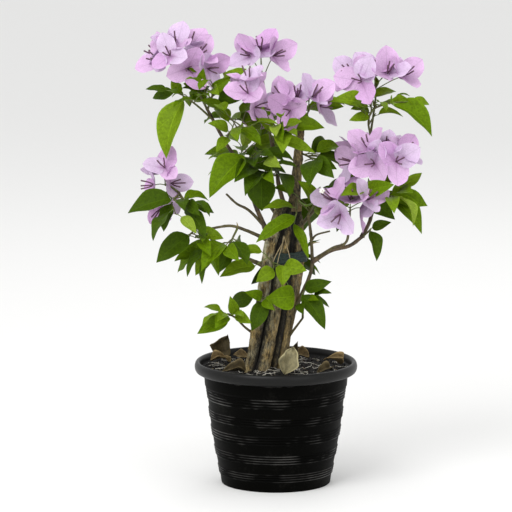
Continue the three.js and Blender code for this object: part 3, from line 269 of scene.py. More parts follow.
# Leaf masses: the stem; how many side shoots it has, their length and that of their small leaves; the
# seed of its draws; most leaves' tone; and its large leaves, the foot and the tip of each
LEAF_MASSES = {
    "leaves_top_left": {
        "stem": [(-104, -16, 582), (-99, -26, 600), (-92, -35, 617)],
        "shoots": 3, "reach": 30, "size": 40, "seed": 36, "tone": "mid",
        "leaves": [
            ((-110, -30, 622), (-111, -46, 648)),
            ((-97, -30, 612), (-70, -38, 634)),
            ((-88, -26, 598), (-47, -40, 606)),
        ],
    },
    "leaves_hanging_left": {
        "stem": [(-96, -14, 565), (-114, -26, 584), (-130, -33, 598), (-140, -35, 605)],
        "shoots": 2, "reach": 20, "size": 36, "seed": 14, "tone": "mid",
        "leaves": [((-141, -37, 600), (-169, -56, 513)), ((-147, -37, 609), (-158, -44, 636))],
    },
    "leaves_upper_left": {
        "stem": [(-76, -17, 530), (-73, -31, 546), (-61, -40, 557), (-50, -45, 561)],
        "shoots": 3, "reach": 40, "size": 44, "seed": 14, "tone": "bright",
        "leaves": [
            ((-73, -34, 552), (-103, -48, 566)),
            ((-72, -32, 540), (-91, -52, 522)),
            ((-53, -45, 557), (-22, -66, 537)),
        ],
    },
    "leaves_upper_middle": {
        "stem": [(-5, -15, 531), (0, -31, 547), (13, -43, 558)],
        "shoots": 3, "reach": 38, "size": 44, "seed": 62, "tone": "bright",
        "leaves": [
            ((-6, -34, 553), (-30, -56, 574)),
            ((15, -45, 560), (37, -66, 572)),
            ((4, -34, 540), (58, -56, 524)),
        ],
    },
    "leaves_middle_left": {
        "stem": [(-44, -17, 478), (-44, -30, 494), (-46, -41, 512)],
        "shoots": 3, "reach": 38, "size": 48, "seed": 31, "tone": "dark",
        "leaves": [((-48, -43, 514), (-102, -78, 457)), ((-42, -37, 504), (-8, -58, 495))],
    },
    "leaves_fork": {
        "stem": [(-1, -6, 478), (-8, -18, 481), (-18, -27, 484)],
        "shoots": 4, "reach": 38, "size": 48, "seed": 29, "tone": "dark",
        "leaves": [((-22, -32, 480), (-22, -44, 430))],
    },
    "leaves_centre": {
        "stem": [(30, -5, 446), (31, -20, 434), (31, -34, 424)],
        "shoots": 1, "reach": 30, "size": 46, "seed": 76, "tone": "mid",
        "leaves": [
            ((26, -32, 434), (-20, -62, 438)),
            ((29, -36, 420), (-31, -66, 386)),
            ((27, -30, 408), (50, -54, 358)),
        ],
    },
    "leaves_trunk_front": {
        "stem": [(3, -16, 330), (-1, -29, 340), (-6, -38, 350), (-14, -44, 360)],
        "shoots": 1, "reach": 24, "size": 36, "seed": 64, "tone": "bright",
        "leaves": [
            ((-22, -46, 368), (-58, -58, 366)),
            ((-32, -50, 346), (-86, -64, 336)),
            ((8, -44, 346), (10, -62, 318)),
            ((12, -40, 344), (46, -60, 341)),
            ((-4, -46, 340), (-30, -60, 324)),
            ((28, -42, 298), (-14, -62, 298)),
        ],
    },
    "leaves_left_middle": {
        "stem": [(-60, -31, 398), (-66, -38, 388), (-70, -46, 380)],
        "shoots": 2, "reach": 34, "size": 46, "seed": 82, "tone": "dark",
        "leaves": [((-71, -52, 376), (-85, -66, 340))],
    },
    "leaves_centre_arm": {
        "stem": [(39, -4, 512), (48, -14, 510), (56, -24, 506)],
        "shoots": 3, "reach": 28, "size": 46, "seed": 49, "tone": "dark",
        "leaves": [((59, -27, 507), (92, -40, 494))],
    },
    "leaves_right_inner": {
        "stem": [(148, -11, 446), (142, -34, 456), (134, -56, 464)],
        "shoots": 3, "reach": 28, "size": 40, "seed": 61, "tone": "bright",
        "leaves": [((136, -60, 464), (176, -92, 478)), ((131, -60, 466), (98, -92, 462))],
    },
    "leaves_left_shoot": {
        "stem": [(-86, -39, 374), (-97, -45, 370), (-106, -50, 366)],
        "shoots": 1, "reach": 28, "size": 44, "seed": 93, "tone": "mid",
        "leaves": [((-99, -48, 368), (-123, -62, 334))],
    },
    "leaves_left_low": {
        "stem": [(-116, -45, 408), (-126, -52, 400), (-132, -57, 395)],
        "shoots": 1, "reach": 18, "size": 36, "seed": 32, "tone": "mid",
        "leaves": [((-133, -59, 395), (-182, -80, 357))],
    },
    "leaves_left": {
        "stem": [(-147, -46, 455), (-155, -55, 450), (-160, -60, 442)],
        "shoots": 2, "reach": 30, "size": 42, "seed": 49, "tone": "dark",
        "leaves": [((-158, -60, 452), (-225, -78, 434)), ((-160, -64, 444), (-172, -76, 404))],
    },
    "leaves_low_left": {
        "stem": [(-61, -33, 263), (-67, -38, 267), (-72, -43, 269)],
        "shoots": 1, "reach": 22, "size": 34, "seed": 60, "tone": "bright",
        "leaves": [((-73, -45, 267), (-120, -62, 244)), ((-62, -38, 271), (-70, -50, 298))],
    },
    "leaves_trunk_left": {
        "stem": [(-22, -23, 296), (-20, -33, 292)],
        "shoots": 1, "reach": 16, "size": 34, "seed": 77, "tone": "mid",
        "leaves": [((-20, -35, 288), (-37, -52, 246)), ((-22, -34, 294), (-46, -48, 306))],
    },
    "leaves_low_right": {
        "stem": [(41, -17, 262), (41, -25, 278), (39, -30, 296)],
        "shoots": 2, "reach": 18, "size": 34, "seed": 8, "tone": "dark",
        "leaves": [((40, -32, 298), (77, -54, 252)), ((44, -30, 306), (84, -42, 321))],
    },
    "leaves_right_fork": {
        "stem": [(134, -24, 388), (140, -34, 396), (144, -42, 402)],
        "shoots": 1, "reach": 18, "size": 36, "seed": 41, "tone": "dark",
        "leaves": [((146, -44, 404), (174, -56, 415)), ((143, -44, 399), (156, -62, 358))],
    },
    "leaves_right": {
        "stem": [(150, -15, 434), (158, -30, 445), (168, -43, 452)],
        "shoots": 3, "reach": 28, "size": 42, "seed": 99, "tone": "mid",
        "leaves": [((171, -46, 451), (223, -70, 402)), ((173, -46, 455), (231, -42, 438))],
    },
    "leaves_top_right": {
        "stem": [(145, 17, 536), (141, 4, 560), (148, 0, 580), (172, -5, 590)],
        "shoots": 4, "reach": 30, "size": 40, "seed": 19, "tone": "bright",
        "leaves": [
            ((140, 2, 584), (84, -16, 598)),
            ((178, -7, 588), (240, -30, 549)),
            ((142, 2, 570), (112, -14, 566)),
        ],
    },
    "leaves_centre_right": {
        "stem": [(49, -12, 422), (54, -24, 430), (59, -32, 440)],
        "shoots": 4, "reach": 36, "size": 48, "seed": 57, "tone": "mid",
        "leaves": [((57, -34, 444), (34, -52, 478)), ((60, -36, 436), (92, -62, 412))],
    },
    "leaves_back_left": {
        "stem": [(-30, 55, 453), (-46, 66, 476), (-58, 74, 498)],
        "shoots": 3, "reach": 42, "size": 52, "seed": 28, "tone": "mid",
        "leaves": [],
    },
    "leaves_back_right": {
        "stem": [(83, 65, 437), (92, 74, 430), (104, 78, 432)],
        "shoots": 3, "reach": 44, "size": 54, "seed": 8, "tone": "dark",
        "leaves": [],
    },
    "leaves_back_top": {
        "stem": [(45, 57, 554), (48, 66, 562), (50, 74, 568)],
        "shoots": 3, "reach": 38, "size": 48, "seed": 75, "tone": "mid",
        "leaves": [],
    },
    "leaves_back_low": {
        "stem": [(19, 20, 322), (18, 36, 322), (13, 50, 330)],
        "shoots": 3, "reach": 30, "size": 46, "seed": 70, "tone": "dark",
        "leaves": [],
    },
}

# Bloom masses: the stem; the half-sizes of the dome of blooms round its end; the seed of its draws;
# and the way all its blooms lean. Some have more: where on the dome blooms begin, with 1 at its top
# and -1 at its foot, how deep they go, how far the dome is lifted, the blooms' scale, and how clear
# they stand of large leaves.
BLOOM_MASSES = {
    "bloom_top_left": {
        "stem": [(-107, -13, 588), (-128, -12, 626), (-148, -10, 650)],
        "spread": (44, 30, 26), "seed": 9, "lean": (-0.1, -1.0, 0.3), "depth": 1.6, "rise": 2,
    },
    "bloom_top_middle": {
        "stem": [(-15, 29, 583), (-19, 33, 615), (-23, 36, 640)],
        "spread": (20, 20, 12), "seed": 11, "lean": (0, -1.0, 0.35), "rise": 17,
    },
    "bloom_front_middle": {
        "stem": [(-7, -13, 537), (-19, -27, 571), (-40, -42, 602)],
        "spread": (10, 12, 26), "seed": 56, "lean": (-0.1, -0.3, 0.8), "depth": 1.8, "rise": 8,
    },
    "bloom_centre_right": {
        "stem": [(38, -5, 559), (39, -7, 572), (35, -9, 584)],
        "spread": (31, 24, 20), "seed": 25, "lean": (0.1, -0.9, 0.2),
    },
    "bloom_top_right": {
        "stem": [(145, 21, 544), (152, 27, 590), (152, 30, 616)],
        "spread": (46, 30, 12), "seed": 74, "lean": (-0.1, -1.0, 0.35), "rise": 6,
    },
    "bloom_right": {
        "stem": [(151, -4, 470), (156, -24, 484), (165, -34, 505)],
        "spread": (46, 26, 22), "seed": 45, "lean": (0, -0.9, 0.3),
    },
    "bloom_right_low": {
        "stem": [(111, -50, 418), (112, -60, 430), (112, -68, 440)],
        "spread": (34, 18, 16), "seed": 68, "lean": (-0.1, -0.8, 0.1), "depth": 1.8, "room": 10,
    },
    "bloom_left": {
        "stem": [(-151, -42, 461), (-162, -40, 468), (-169, -34, 468)],
        "spread": (15, 14, 42), "seed": 12, "lean": (-0.2, -0.5, 0),
        "top": 0.7, "depth": 1.65, "scale": 0.84, "room": 1,
    },
    "bloom_back": {
        "stem": [(-42, 66, 468), (-30, 84, 510), (-8, 92, 548)],
        "spread": (18, 14, 16), "seed": 62, "lean": (0, 0.5, 0.3),
    },
    "bloom_back_right": {
        "stem": [(84, 66, 438), (104, 82, 470), (126, 88, 490)],
        "spread": (14, 16, 16), "seed": 47, "lean": (0.2, 0.5, 0.3),
    },
}

# Thorns: the bough that carries each, how far along it, the way it points, and its length
THORNS = [
    ("bough_top_left", 0.72, (-0.9, -0.3, 0.5), 15),
    ("bough_top_left", 0.45, (0.9, -0.4, 0.3), 12),
    ("bough_right_top", 0.9, (-0.8, -0.4, 0.7), 15),
    ("bough_right_top", 0.45, (0.9, -0.2, 0.4), 11),
    ("bough_right", 0.72, (0.9, -0.4, 0.2), 14),
    ("bough_right", 0.38, (0.8, -0.6, 0.1), 10),
    ("bough_right_reach", 0.5, (0.1, -0.6, 0.8), 12),
    ("bough_left_low", 0.4, (-0.2, -0.5, 0.9), 12),
    ("bough_left_low", 0.7, (-0.7, -0.5, -0.4), 11),
    ("bough_left_middle", 0.5, (-0.2, -0.4, 0.9), 10),
    ("bough_centre", 0.7, (0.8, -0.5, 0.2), 12),
    ("bough_back_left", 0.6, (-0.5, 0.8, 0.3), 12),
    ("bough_back_right", 0.6, (0.4, 0.8, 0.4), 12),
]
THORN_GIRTH = (3.0, 0.35)

GOLDEN_ANGLE = 137.5  # degrees from one shoot or bloom to the next

# Side shoots start at this share of a stem: the source's, and the finer ones among them, whose seed
# is the mass's and some more
FIRST_SHOOT, FIRST_FINE_SHOOT = 0.35, 0.15
FINE_SEED = 500

# Leaves. Each mass's leaves have its own tone or the next one.
TONES = ["dark", "mid", "bright"]
OWN_TONE = 0.6  # share of the leaves that have just their mass's tone
YOUNG_TIPS = 0.14  # share of the leaves at the shoots' tips that are young
LEAF_SCALE = 1.12  # how much longer small leaves are than their mass's size
LEAF_SIZES = (0.75, 1.15)
LEAF_SWAY = 1.1  # radians that leaves turn aside
LEAF_ROLL = 1.5  # radians that leaves turn about their midribs
LEAF_HANG = (0.05, 0.8)  # how far a small leaf's tip hangs, as a share of its length
STALK_LENGTH = (7, 12)
STALK_GIRTH = (1.7, 1.2)
STALK_BACK = 9  # the stalk of a large leaf leaves the stem this far behind its blade
CROWN_MIDDLE = 10.0  # the crown's middle lies a little to the right
FRONT = np.array([0.0, -1.2, 0.0])  # the large leaves turn this way
EDGE_ON = ("leaves_centre",)  # but here they stand edge on, and the trunk shows between them

# Large leaves that are narrower or broader than the rest, by mass and number
BREADTHS = {
    ("leaves_centre", 0): 0.6,
    ("leaves_centre", 1): 0.6,
    ("leaves_centre", 2): 0.5,
    ("leaves_fork", 0): 1.65,
    ("leaves_hanging_left", 0): 0.88,
    ("leaves_trunk_front", 2): 1.35,
    ("leaves_trunk_front", 3): 1.35,
    ("leaves_trunk_front", 4): 1.35,
    ("leaves_trunk_front", 5): 1.6,
    ("leaves_upper_middle", 2): 0.66,
}

# How far leaves differ, least and most: their breadth, and bends as shares of their length. The fold
# is along the midrib, the wave is in the margin, and the phase shifts the wave.
LEAF_BREADTH = (0.92, 1.12)
LEAF_BENDS = {
    "arch": (0.04, 0.12),
    "droop": (0.03, 0.16),
    "fold": (0.2, 0.6),
    "wave": (0.012, 0.042),
    "phase": (0, 1),
}

# A leaf's and a bract's half-width along their length, as shares of the widest
LEAF_OUTLINE = [
    (0, 0.06), (0.03, 0.26), (0.09, 0.56), (0.18, 0.84), (0.27, 0.96), (0.36, 1), (0.47, 0.97),
    (0.59, 0.87), (0.7, 0.71), (0.8, 0.51), (0.89, 0.29), (0.95, 0.13), (1, 0.0),
]
BRACT_OUTLINE = [
    (0, 0.12), (0.03, 0.4), (0.09, 0.7), (0.18, 0.9), (0.3, 0.99), (0.42, 1),
    (0.56, 0.96), (0.7, 0.85), (0.81, 0.68), (0.9, 0.44), (0.96, 0.2), (1, 0.0),
]

# Faces along and across each kind of blade
LEAF_CELLS = (12, 8)
BRACT_CELLS = (14, 12)
LITTER_CELLS = (14, 8)

# Blooms
BRACTS = 3
BLOOM_TRIES = 90
BLOOMS_APART, APART_BY_SPREAD = 15, 0.22  # blooms stand apart by the first, and a share of the dome
BLOOM_ROOM = 6  # a bloom's seat stands this clear of a large leaf
BLOOM_OPENING = (49, 67)  # degrees from a bloom's axis to its bracts
DOME_DEPTH = 1.25  # how far down blooms go on a dome that is 2 high
DOME_REACH = (0.6, 1.1)  # how far out from its middle they sit
UPRIGHT = np.array([1.0, 0.75, 1.0])  # blooms open upward and aside more than to the front
BLOOM_SEED = 31
BLOOM_SIZES = (0.88, 1.08)
BRACT_SWAY = (-0.15, 0.15)  # radians that a bract turns aside, and lifts
BRACT_BREADTH = (0.92, 1.08)
DEEP_LOW, DEEP_HIGH = 0.5, 0.12  # share of the bracts that are deep, low in a cluster and above
PALE_FROM = 0.6  # and pale, from this share up
BLOOM_STALK_GIRTH = (1.7, 1.3)
TUBE_LENGTH = (21, 26)
TUBE_GIRTH = (1.9, 2.5)
STAR_LOBES = 5
STAR_RADIUS = 4.6
STAR_THICKNESS = 0.4
STAR_PLACE = np.array([69.0, -82.0, 467.0])
STAR_FACING = Vector((0.05, -0.95, 0.3))
STAR_TUBE_GIRTH = (2.0, 2.4)

# Room: the balls that points of a leaf and a bract take up, and how clear a new leaf or shoot stays
LEAF_BALL, BRACT_BALL = 3, 9
LEAF_OFF_WOOD, LEAF_OFF_BLADES, SHOOT_OFF_WOOD = 3.5, 4.5, 1.5

# No small leaf hides these limbs from the front
IN_VIEW = (
    "bough_top_left",
    "bough_centre",
    "stub_left",
    "bough_right",
    "bough_right_reach",
    "bough_right_top",
)
VIEW_MARGIN = 4.0
VIEW_FALL = 0.17  # how far the eye's line falls for each mm that it goes back


def linear(hex_colour):
    """An sRGB hex colour as linear red, green, blue and alpha."""
    parts = [int(hex_colour[i : i + 2], 16) / 255 for i in (1, 3, 5)]
    return (*((c / 12.92 if c <= 0.04045 else ((c + 0.055) / 1.055) ** 2.4) for c in parts), 1.0)


def colour_property(name, description, hex_colour):
    return FloatVectorProperty(
        name=name, description=description, subtype="COLOR", size=4, min=0, max=1, default=linear(hex_colour)
    )


def length_property(name, description, default):
    return FloatProperty(
        name=name, description=description, default=default, min=0, unit="LENGTH", subtype="DISTANCE"
    )


def share_property(name, description, default, least, most):
    return FloatProperty(name=name, description=description, default=default, min=least, max=most)


def power_property(name, description, default):
    return FloatProperty(name=name, description=description, default=default, min=0, unit="POWER")


class PotSizes(bpy.types.PropertyGroup):
    """Sizes and finish of the nursery pot and what fills it."""

    rib_depth: length_property("Rib depth", "How far each moulded rib stands out", RIB_DEPTH * MM)
    lumpiness: length_property("Soil lumps", "How high the potting mix is heaped", 3.4 * MM)
    chips: IntProperty(name="Bark chips", description="How many chips lie on the mix", default=1500, min=0)
    colour: colour_property("Pot", "Black moulded plastic", "#030302")
    # The dust colour also paints the glint on the ribs' polished crests
    dust: colour_property("Dust", "What has dried on the pot", "#8b8880")


class WoodSizes(bpy.types.PropertyGroup):
    """Sizes and colours of trunk, boughs and twigs."""

    relief: length_property("Bark relief", "Depth of the furrows in the old bark", 1.5 * MM)
    twig_girth: length_property("Twig girth", "Thickness of a young twig", 2.3 * MM)
    ridge: colour_property("Ridges", "Weathered bark", "#9c8553")
    furrow: colour_property("Furrows", "Shaded bark in the grooves", "#0b0803")
    lichen: colour_property("Lichen", "Grey-green bloom on the old canes", "#b8b599")


class LeafSizes(bpy.types.PropertyGroup):
    """Shape and colours of the leaves."""

    width: share_property("Width", "Share of its length that a leaf is wide", 0.52, 0.2, 1)
    spacing: length_property("Spacing", "How far apart leaves stand along a shoot", 18.5 * MM)
    dark: colour_property("Dark", "Old leaves in the crown", "#394f06")
    mid: colour_property("Mid", "Most leaves", "#567006")
    bright: colour_property("Bright", "Leaves in full light", "#657e12")
    young: colour_property("Young", "Leaves at the shoots' tips", "#788d2c")


class BloomSizes(bpy.types.PropertyGroup):
    """Shape and colours of the blooms."""

    bract: length_property("Bract", "Length of a bract", 40.5 * MM)
    width: share_property("Width", "Share of its length that a bract is wide", 0.84, 0.3, 1.2)
    pale: colour_property("Pale", "Bracts in full light", "#d2bcd8")
    lilac: colour_property("Lilac", "Most bracts", "#d3b1d5")
    deep: colour_property("Deep", "Bracts low in a cluster", "#cea6d1")
    # The throat colour is partly painted shade where the three bracts overlap
    throat: colour_property("Throat", "Bracts where they meet their tube", "#b589b6")
    tube: colour_property("Tube", "The narrow flower on each bract", "#664858")


class StageSizes(bpy.types.PropertyGroup):
    """Floor and light."""

    floor: colour_property("Floor", "Plain pale floor", "#ebebea")
    key: power_property("Key light", "Power of the large light above", 48)
    fill: power_property("Fill light", "Power of the light from the front", 14)


def add(tree, kind, inputs=None, stops=(), **settings):
    """Add one node with its settings. An input is a value, or a socket that is linked to it.

    stops are a colour ramp's places and linear colours.
    """
    node = tree.nodes.new(kind)
    for k, (place, colour) in enumerate(stops):
        element = node.color_ramp.elements[k] if k < 2 else node.color_ramp.elements.new(place)
        element.position, element.color = place, colour
    for name, value in settings.items():
        setattr(node, name, value)
    for name, value in (inputs or {}).items():
        if isinstance(value, bpy.types.NodeSocket):
            tree.links.new(value, node.inputs[name])
        else:
            node.inputs[name].default_value = value
    return node


def new_material(name, inputs):
    """A material with its shader, whose inputs are values."""
    material = bpy.data.materials.new(name)
    material.use_nodes = True
    tree = material.node_tree
    shader = tree.nodes["Principled BSDF"]
    for socket, value in inputs.items():
        shader.inputs[socket].default_value = value
    return material, tree, shader


def shade(colour, amount):
    """The same colour, lighter above 1 and darker below."""
    return (*(min(1.0, c * amount) for c in colour[:3]), 1.0)


def pattern(tree, kind, size_mm, stretch=(1, 1, 1), **inputs):
    """A pattern on Object coordinates whose features are about size_mm wide."""
    place = add(tree, "ShaderNodeTexCoord").outputs["Object"]
    scaled = add(tree, "ShaderNodeMapping", {"Vector": place, "Scale": stretch}).outputs["Vector"]
    return add(tree, kind, {"Vector": scaled, "Scale": 1000 / size_mm, **inputs})


def surface(tree, shader, colour, height, strength, depth_mm):
    """Give a shader its colour, and the bump that a height makes."""
    bump = add(tree, "ShaderNodeBump", {"Height": height, "Strength": strength, "Distance": depth_mm * MM})
    tree.links.new(colour, shader.inputs["Base Color"])
    tree.links.new(bump.outputs["Normal"], shader.inputs["Normal"])


def mottled(name, roughness, size_mm, stops, bump, stretch=(1, 1, 1), **noise_inputs):
    """A matt finish whose colours and relief follow one noise. bump is its strength and depth in mm."""
    material, tree, shader = new_material(name, {"Roughness": roughness})
    mottle = pattern(tree, "ShaderNodeTexNoise", size_mm, stretch, **noise_inputs).outputs["Fac"]
    colour = add(tree, "ShaderNodeValToRGB", {"Fac": mottle}, stops).outputs["Color"]
    surface(tree, shader, colour, mottle, *bump)
    return material


def moulded_pot(sizes):
    """Polypropylene, moulded: black and dull, polished on its ribs, with a little dust dried on it and a
    glint painted pale on the ribs' crests.
    """
    material, tree, shader = new_material("moulded_polypropylene", {"IOR": 1.49})
    streaks = pattern(tree, "ShaderNodeTexNoise", 55, (1, 1, 1.6), Detail=3, Roughness=0.6).outputs["Fac"]
    specks = pattern(tree, "ShaderNodeTexNoise", 3, Detail=4, Roughness=0.7).outputs["Fac"]

    # The ribs' crests are polished in patches, and the lip a little all round
    ridge = add(tree, "ShaderNodeAttribute", attribute_name="ridge").outputs["Fac"]
    lip = add(tree, "ShaderNodeAttribute", attribute_name="lip").outputs["Fac"]
    patchy = add(tree, "ShaderNodeMapRange", {"Value": streaks, "From Min": 0.46, "From Max": 0.72})
    crest = add(tree, "ShaderNodeMath", {0: ridge, 1: 3.0}, operation="POWER").outputs[0]
    polish_and_glint = add(tree, "ShaderNodeMath", {0: crest, 1: patchy.outputs["Result"]}, operation="MULTIPLY")
    polish_and_glint = polish_and_glint.outputs[0]
    polished = add(tree, "ShaderNodeMath", {0: lip, 1: LIP_SHEEN, 2: polish_and_glint}, operation="MULTIPLY_ADD")
    for socket, dull, bright in (("Roughness", 0.48, 0.24), ("Specular IOR Level", 0.03, 0.9)):
        ends = {"Value": polished.outputs[0], "To Min": dull, "To Max": bright}
        ranged = add(tree, "ShaderNodeMapRange", ends)
        tree.links.new(ranged.outputs["Result"], shader.inputs[socket])

    # Dust lies where both noises are high, and a painted glint makes the polished crests a little paler
    both = add(tree, "ShaderNodeMath", {0: streaks, 1: specks}, operation="MULTIPLY").outputs[0]
    ends = {"Value": both, "From Min": 0.28, "From Max": 0.5, "To Max": 0.035}
    dusty = add(tree, "ShaderNodeMapRange", ends).outputs["Result"]
    # The crests' share of this paleness is a painted glint; the rest is dust
    pale = add(tree, "ShaderNodeMath", {0: polish_and_glint, 1: 0.2, 2: dusty}, operation="MULTIPLY_ADD").outputs[0]
    colour = add(tree, "ShaderNodeMix", {0: pale, 6: sizes.colour, 7: sizes.dust}, data_type="RGBA")
    surface(tree, shader, colour.outputs[2], specks, 0.12, 0.4)
    return material


def potting_mix():
    """Peat and composted bark: nearly black where damp, brown where it has dried, and rough."""
    stops = [
        (0.35, linear("#040302")),
        (0.55, linear("#0d0906")),
        (0.7, linear("#1f160f")),
        (0.82, linear("#3d2f22")),
    ]
    return mottled("potting_mix", 0.95, 5, stops, (0.9, 3), Detail=8, Roughness=0.75)


def loose_bits(name, first, second, size_mm):
    """Chips, fibres and grains: matt, each a little lighter or darker than the next."""
    stops = [(0.35, linear(first)), (0.65, linear(second))]
    return mottled(name, 0.9, size_mm, stops, (0.5, 1), Detail=5, Roughness=0.7)


def young_bark(name, first, second):
    """Smooth young bark with pale pores: brown on the boughs, green on the shoots."""
    stops = [(0.36, linear(first)), (0.62, linear(second))]
    return mottled(name, 0.62, 9, stops, (0.5, 0.6), (1, 1, 0.5), Detail=7, Roughness=0.65)


def woven_netting():
    """Woven plastic netting: flat dark blue-green threads that lie across, with dust caught in them."""
    stops = [(0.35, linear("#0b120e")), (0.55, linear("#22382f")), (0.72, linear("#4b4a58"))]
    return mottled("woven_netting", 0.65, 2.2, stops, (0.8, 1), (1, 1, 2.5), Detail=4, Roughness=0.7)


def flower_skin(name, colour):
    """A tube or a petal: soft and matt, one colour, slightly mottled."""
    material, tree, shader = new_material(name, {"Roughness": 0.6})
    mottle = pattern(tree, "ShaderNodeTexNoise", 3, Detail=4).outputs["Fac"]
    stops = [(0.3, shade(colour, 0.75)), (0.7, shade(colour, 1.2))]
    tint = add(tree, "ShaderNodeValToRGB", {"Fac": mottle}, stops)
    tree.links.new(tint.outputs["Color"], shader.inputs["Base Color"])
    return material


def old_bark(sizes):
    """Weathered bark: furrows run up the cane in painted shade, ridges are bleached and carry painted glints,
    and lichen greys the left canes.
    """
    material, tree, shader = new_material("old_bark", {"Roughness": 0.88})
    grain = pattern(tree, "ShaderNodeTexNoise", 2.2, (1, 1, 0.4), Detail=9, Roughness=0.8).outputs["Fac"]
    # relief holds the mesh's painted shade: darker in the grooves and where the canes meet
    relief = add(tree, "ShaderNodeAttribute", attribute_name="relief").outputs["Fac"]
    ends = {"Value": grain, "From Min": 0.36, "From Max": 0.64, "To Max": 0.34}
    fine = add(tree, "ShaderNodeMapRange", ends).outputs["Result"]
    height = add(tree, "ShaderNodeMath", {0: relief, 1: 0.68, 2: fine}, operation="MULTIPLY_ADD").outputs[0]
    # The lowest stops are painted shade of grooves and clefts, and the top stop is a painted glint on the
    # ridges
    stops = [
        (0.22, sizes.furrow),
        (0.42, shade(sizes.furrow, 5)),
        (0.6, shade(sizes.ridge, 0.34)),
        (0.76, shade(sizes.ridge, 0.85)),
        (0.88, shade(sizes.ridge, 1.5)),
    ]
    wood = add(tree, "ShaderNodeValToRGB", {"Fac": height}, stops).outputs["Color"]

    # Lichen grows in flakes on the ridges, thickest on the left canes and above the lowest leaves
    flakes = pattern(tree, "ShaderNodeTexNoise", 10, (1, 1, 0.45), Detail=7, Roughness=0.65).outputs["Fac"]
    stops = [(0.42, (0, 0, 0, 1)), (0.6, (1, 1, 1, 1))]
    cover = add(tree, "ShaderNodeValToRGB", {"Fac": flakes}, stops).outputs["Color"]
    place = add(tree, "ShaderNodeTexCoord").outputs["Object"]
    parts = add(tree, "ShaderNodeSeparateXYZ", {"Vector": place})
    for ends in (
        {"Value": parts.outputs["X"], "From Min": 0.02, "From Max": -0.03, "To Min": 0.15},
        {"Value": parts.outputs["Z"], "From Min": 0.24, "From Max": 0.31, "To Min": 0.3},
        {"Value": height, "From Min": 0.3, "From Max": 0.6},
    ):
        share = add(tree, "ShaderNodeMapRange", ends).outputs["Result"]
        cover = add(tree, "ShaderNodeMath", {0: cover, 1: share}, operation="MULTIPLY").outputs[0]
    colour = add(tree, "ShaderNodeMix", {0: cover, 6: wood, 7: sizes.lichen}, data_type="RGBA")
    surface(tree, shader, colour.outputs[2], height, 0.8, 1.6)
    return material


def veins(tree, pairs, slant, width):
    """1 on the midrib and side veins of a blade and 0 between, and the places along and off its midrib."""
    place = add(tree, "ShaderNodeUVMap", uv_map="blade").outputs["UV"]
    parts = add(tree, "ShaderNodeSeparateXYZ", {"Vector": place})
    along, across = parts.outputs["X"], parts.outputs["Y"]
    centred = add(tree, "ShaderNodeMath", {0: across, 1: 2.0, 2: -1.0}, operation="MULTIPLY_ADD").outputs[0]
    off = add(tree, "ShaderNodeMath", {0: centred}, operation="ABSOLUTE").outputs[0]
    midrib = add(tree, "ShaderNodeMapRange", {"Value": off, "From Min": width, "From Max": 0.0})
    steps = add(tree, "ShaderNodeMath", {0: along, 1: pairs}, operation="MULTIPLY").outputs[0]
    bent = add(tree, "ShaderNodeMath", {0: off, 1: -slant, 2: steps}, operation="MULTIPLY_ADD").outputs[0]
    saw = add(tree, "ShaderNodeMath", {0: bent, 1: 1.0}, operation="PINGPONG").outputs[0]
    ends = {"Value": saw, "From Min": width * 1.6, "From Max": 0.0, "To Max": 0.55}
    side = add(tree, "ShaderNodeMapRange", ends)
    pair = {0: midrib.outputs["Result"], 1: side.outputs["Result"]}
    return add(tree, "ShaderNodeMath", pair, operation="MAXIMUM").outputs[0], along, off


def living_leaf(name, colour):
    """A bougainvillea leaf: waxy, so it glosses, with a paler midrib and rim and faint side veins."""
    material, tree, shader = new_material(name, {"Roughness": 0.5, "IOR": 1.42, "Specular IOR Level": 0.09})
    lines, _along, off = veins(tree, pairs=7.0, slant=2.4, width=0.05)
    mottle = pattern(tree, "ShaderNodeTexNoise", 4, Detail=5, Roughness=0.65).outputs["Fac"]
    stops = [(0.34, shade(colour, 0.78)), (0.66, shade(colour, 1.25))]
    base = add(tree, "ShaderNodeValToRGB", {"Fac": mottle}, stops).outputs["Color"]
    rim = add(tree, "ShaderNodeMapRange", {"Value": off, "From Min": 0.84, "From Max": 1.0, "To Max": 0.6})
    pale = add(tree, "ShaderNodeMath", {0: lines, 1: rim.outputs["Result"]}, operation="MAXIMUM").outputs[0]
    amount = add(tree, "ShaderNodeMath", {0: pale, 1: 0.55}, operation="MULTIPLY").outputs[0]
    mixed = add(tree, "ShaderNodeMix", {0: amount, 6: base, 7: shade(colour, 2.2)}, data_type="RGBA")
    grain = pattern(tree, "ShaderNodeTexNoise", 2.5, Detail=2, Roughness=0.5).outputs["Fac"]
    height = add(tree, "ShaderNodeMath", {0: lines, 1: -1.0, 2: grain}, operation="MULTIPLY_ADD").outputs[0]
    surface(tree, shader, mixed.outputs[2], height, 0.6, 0.8)
    return material


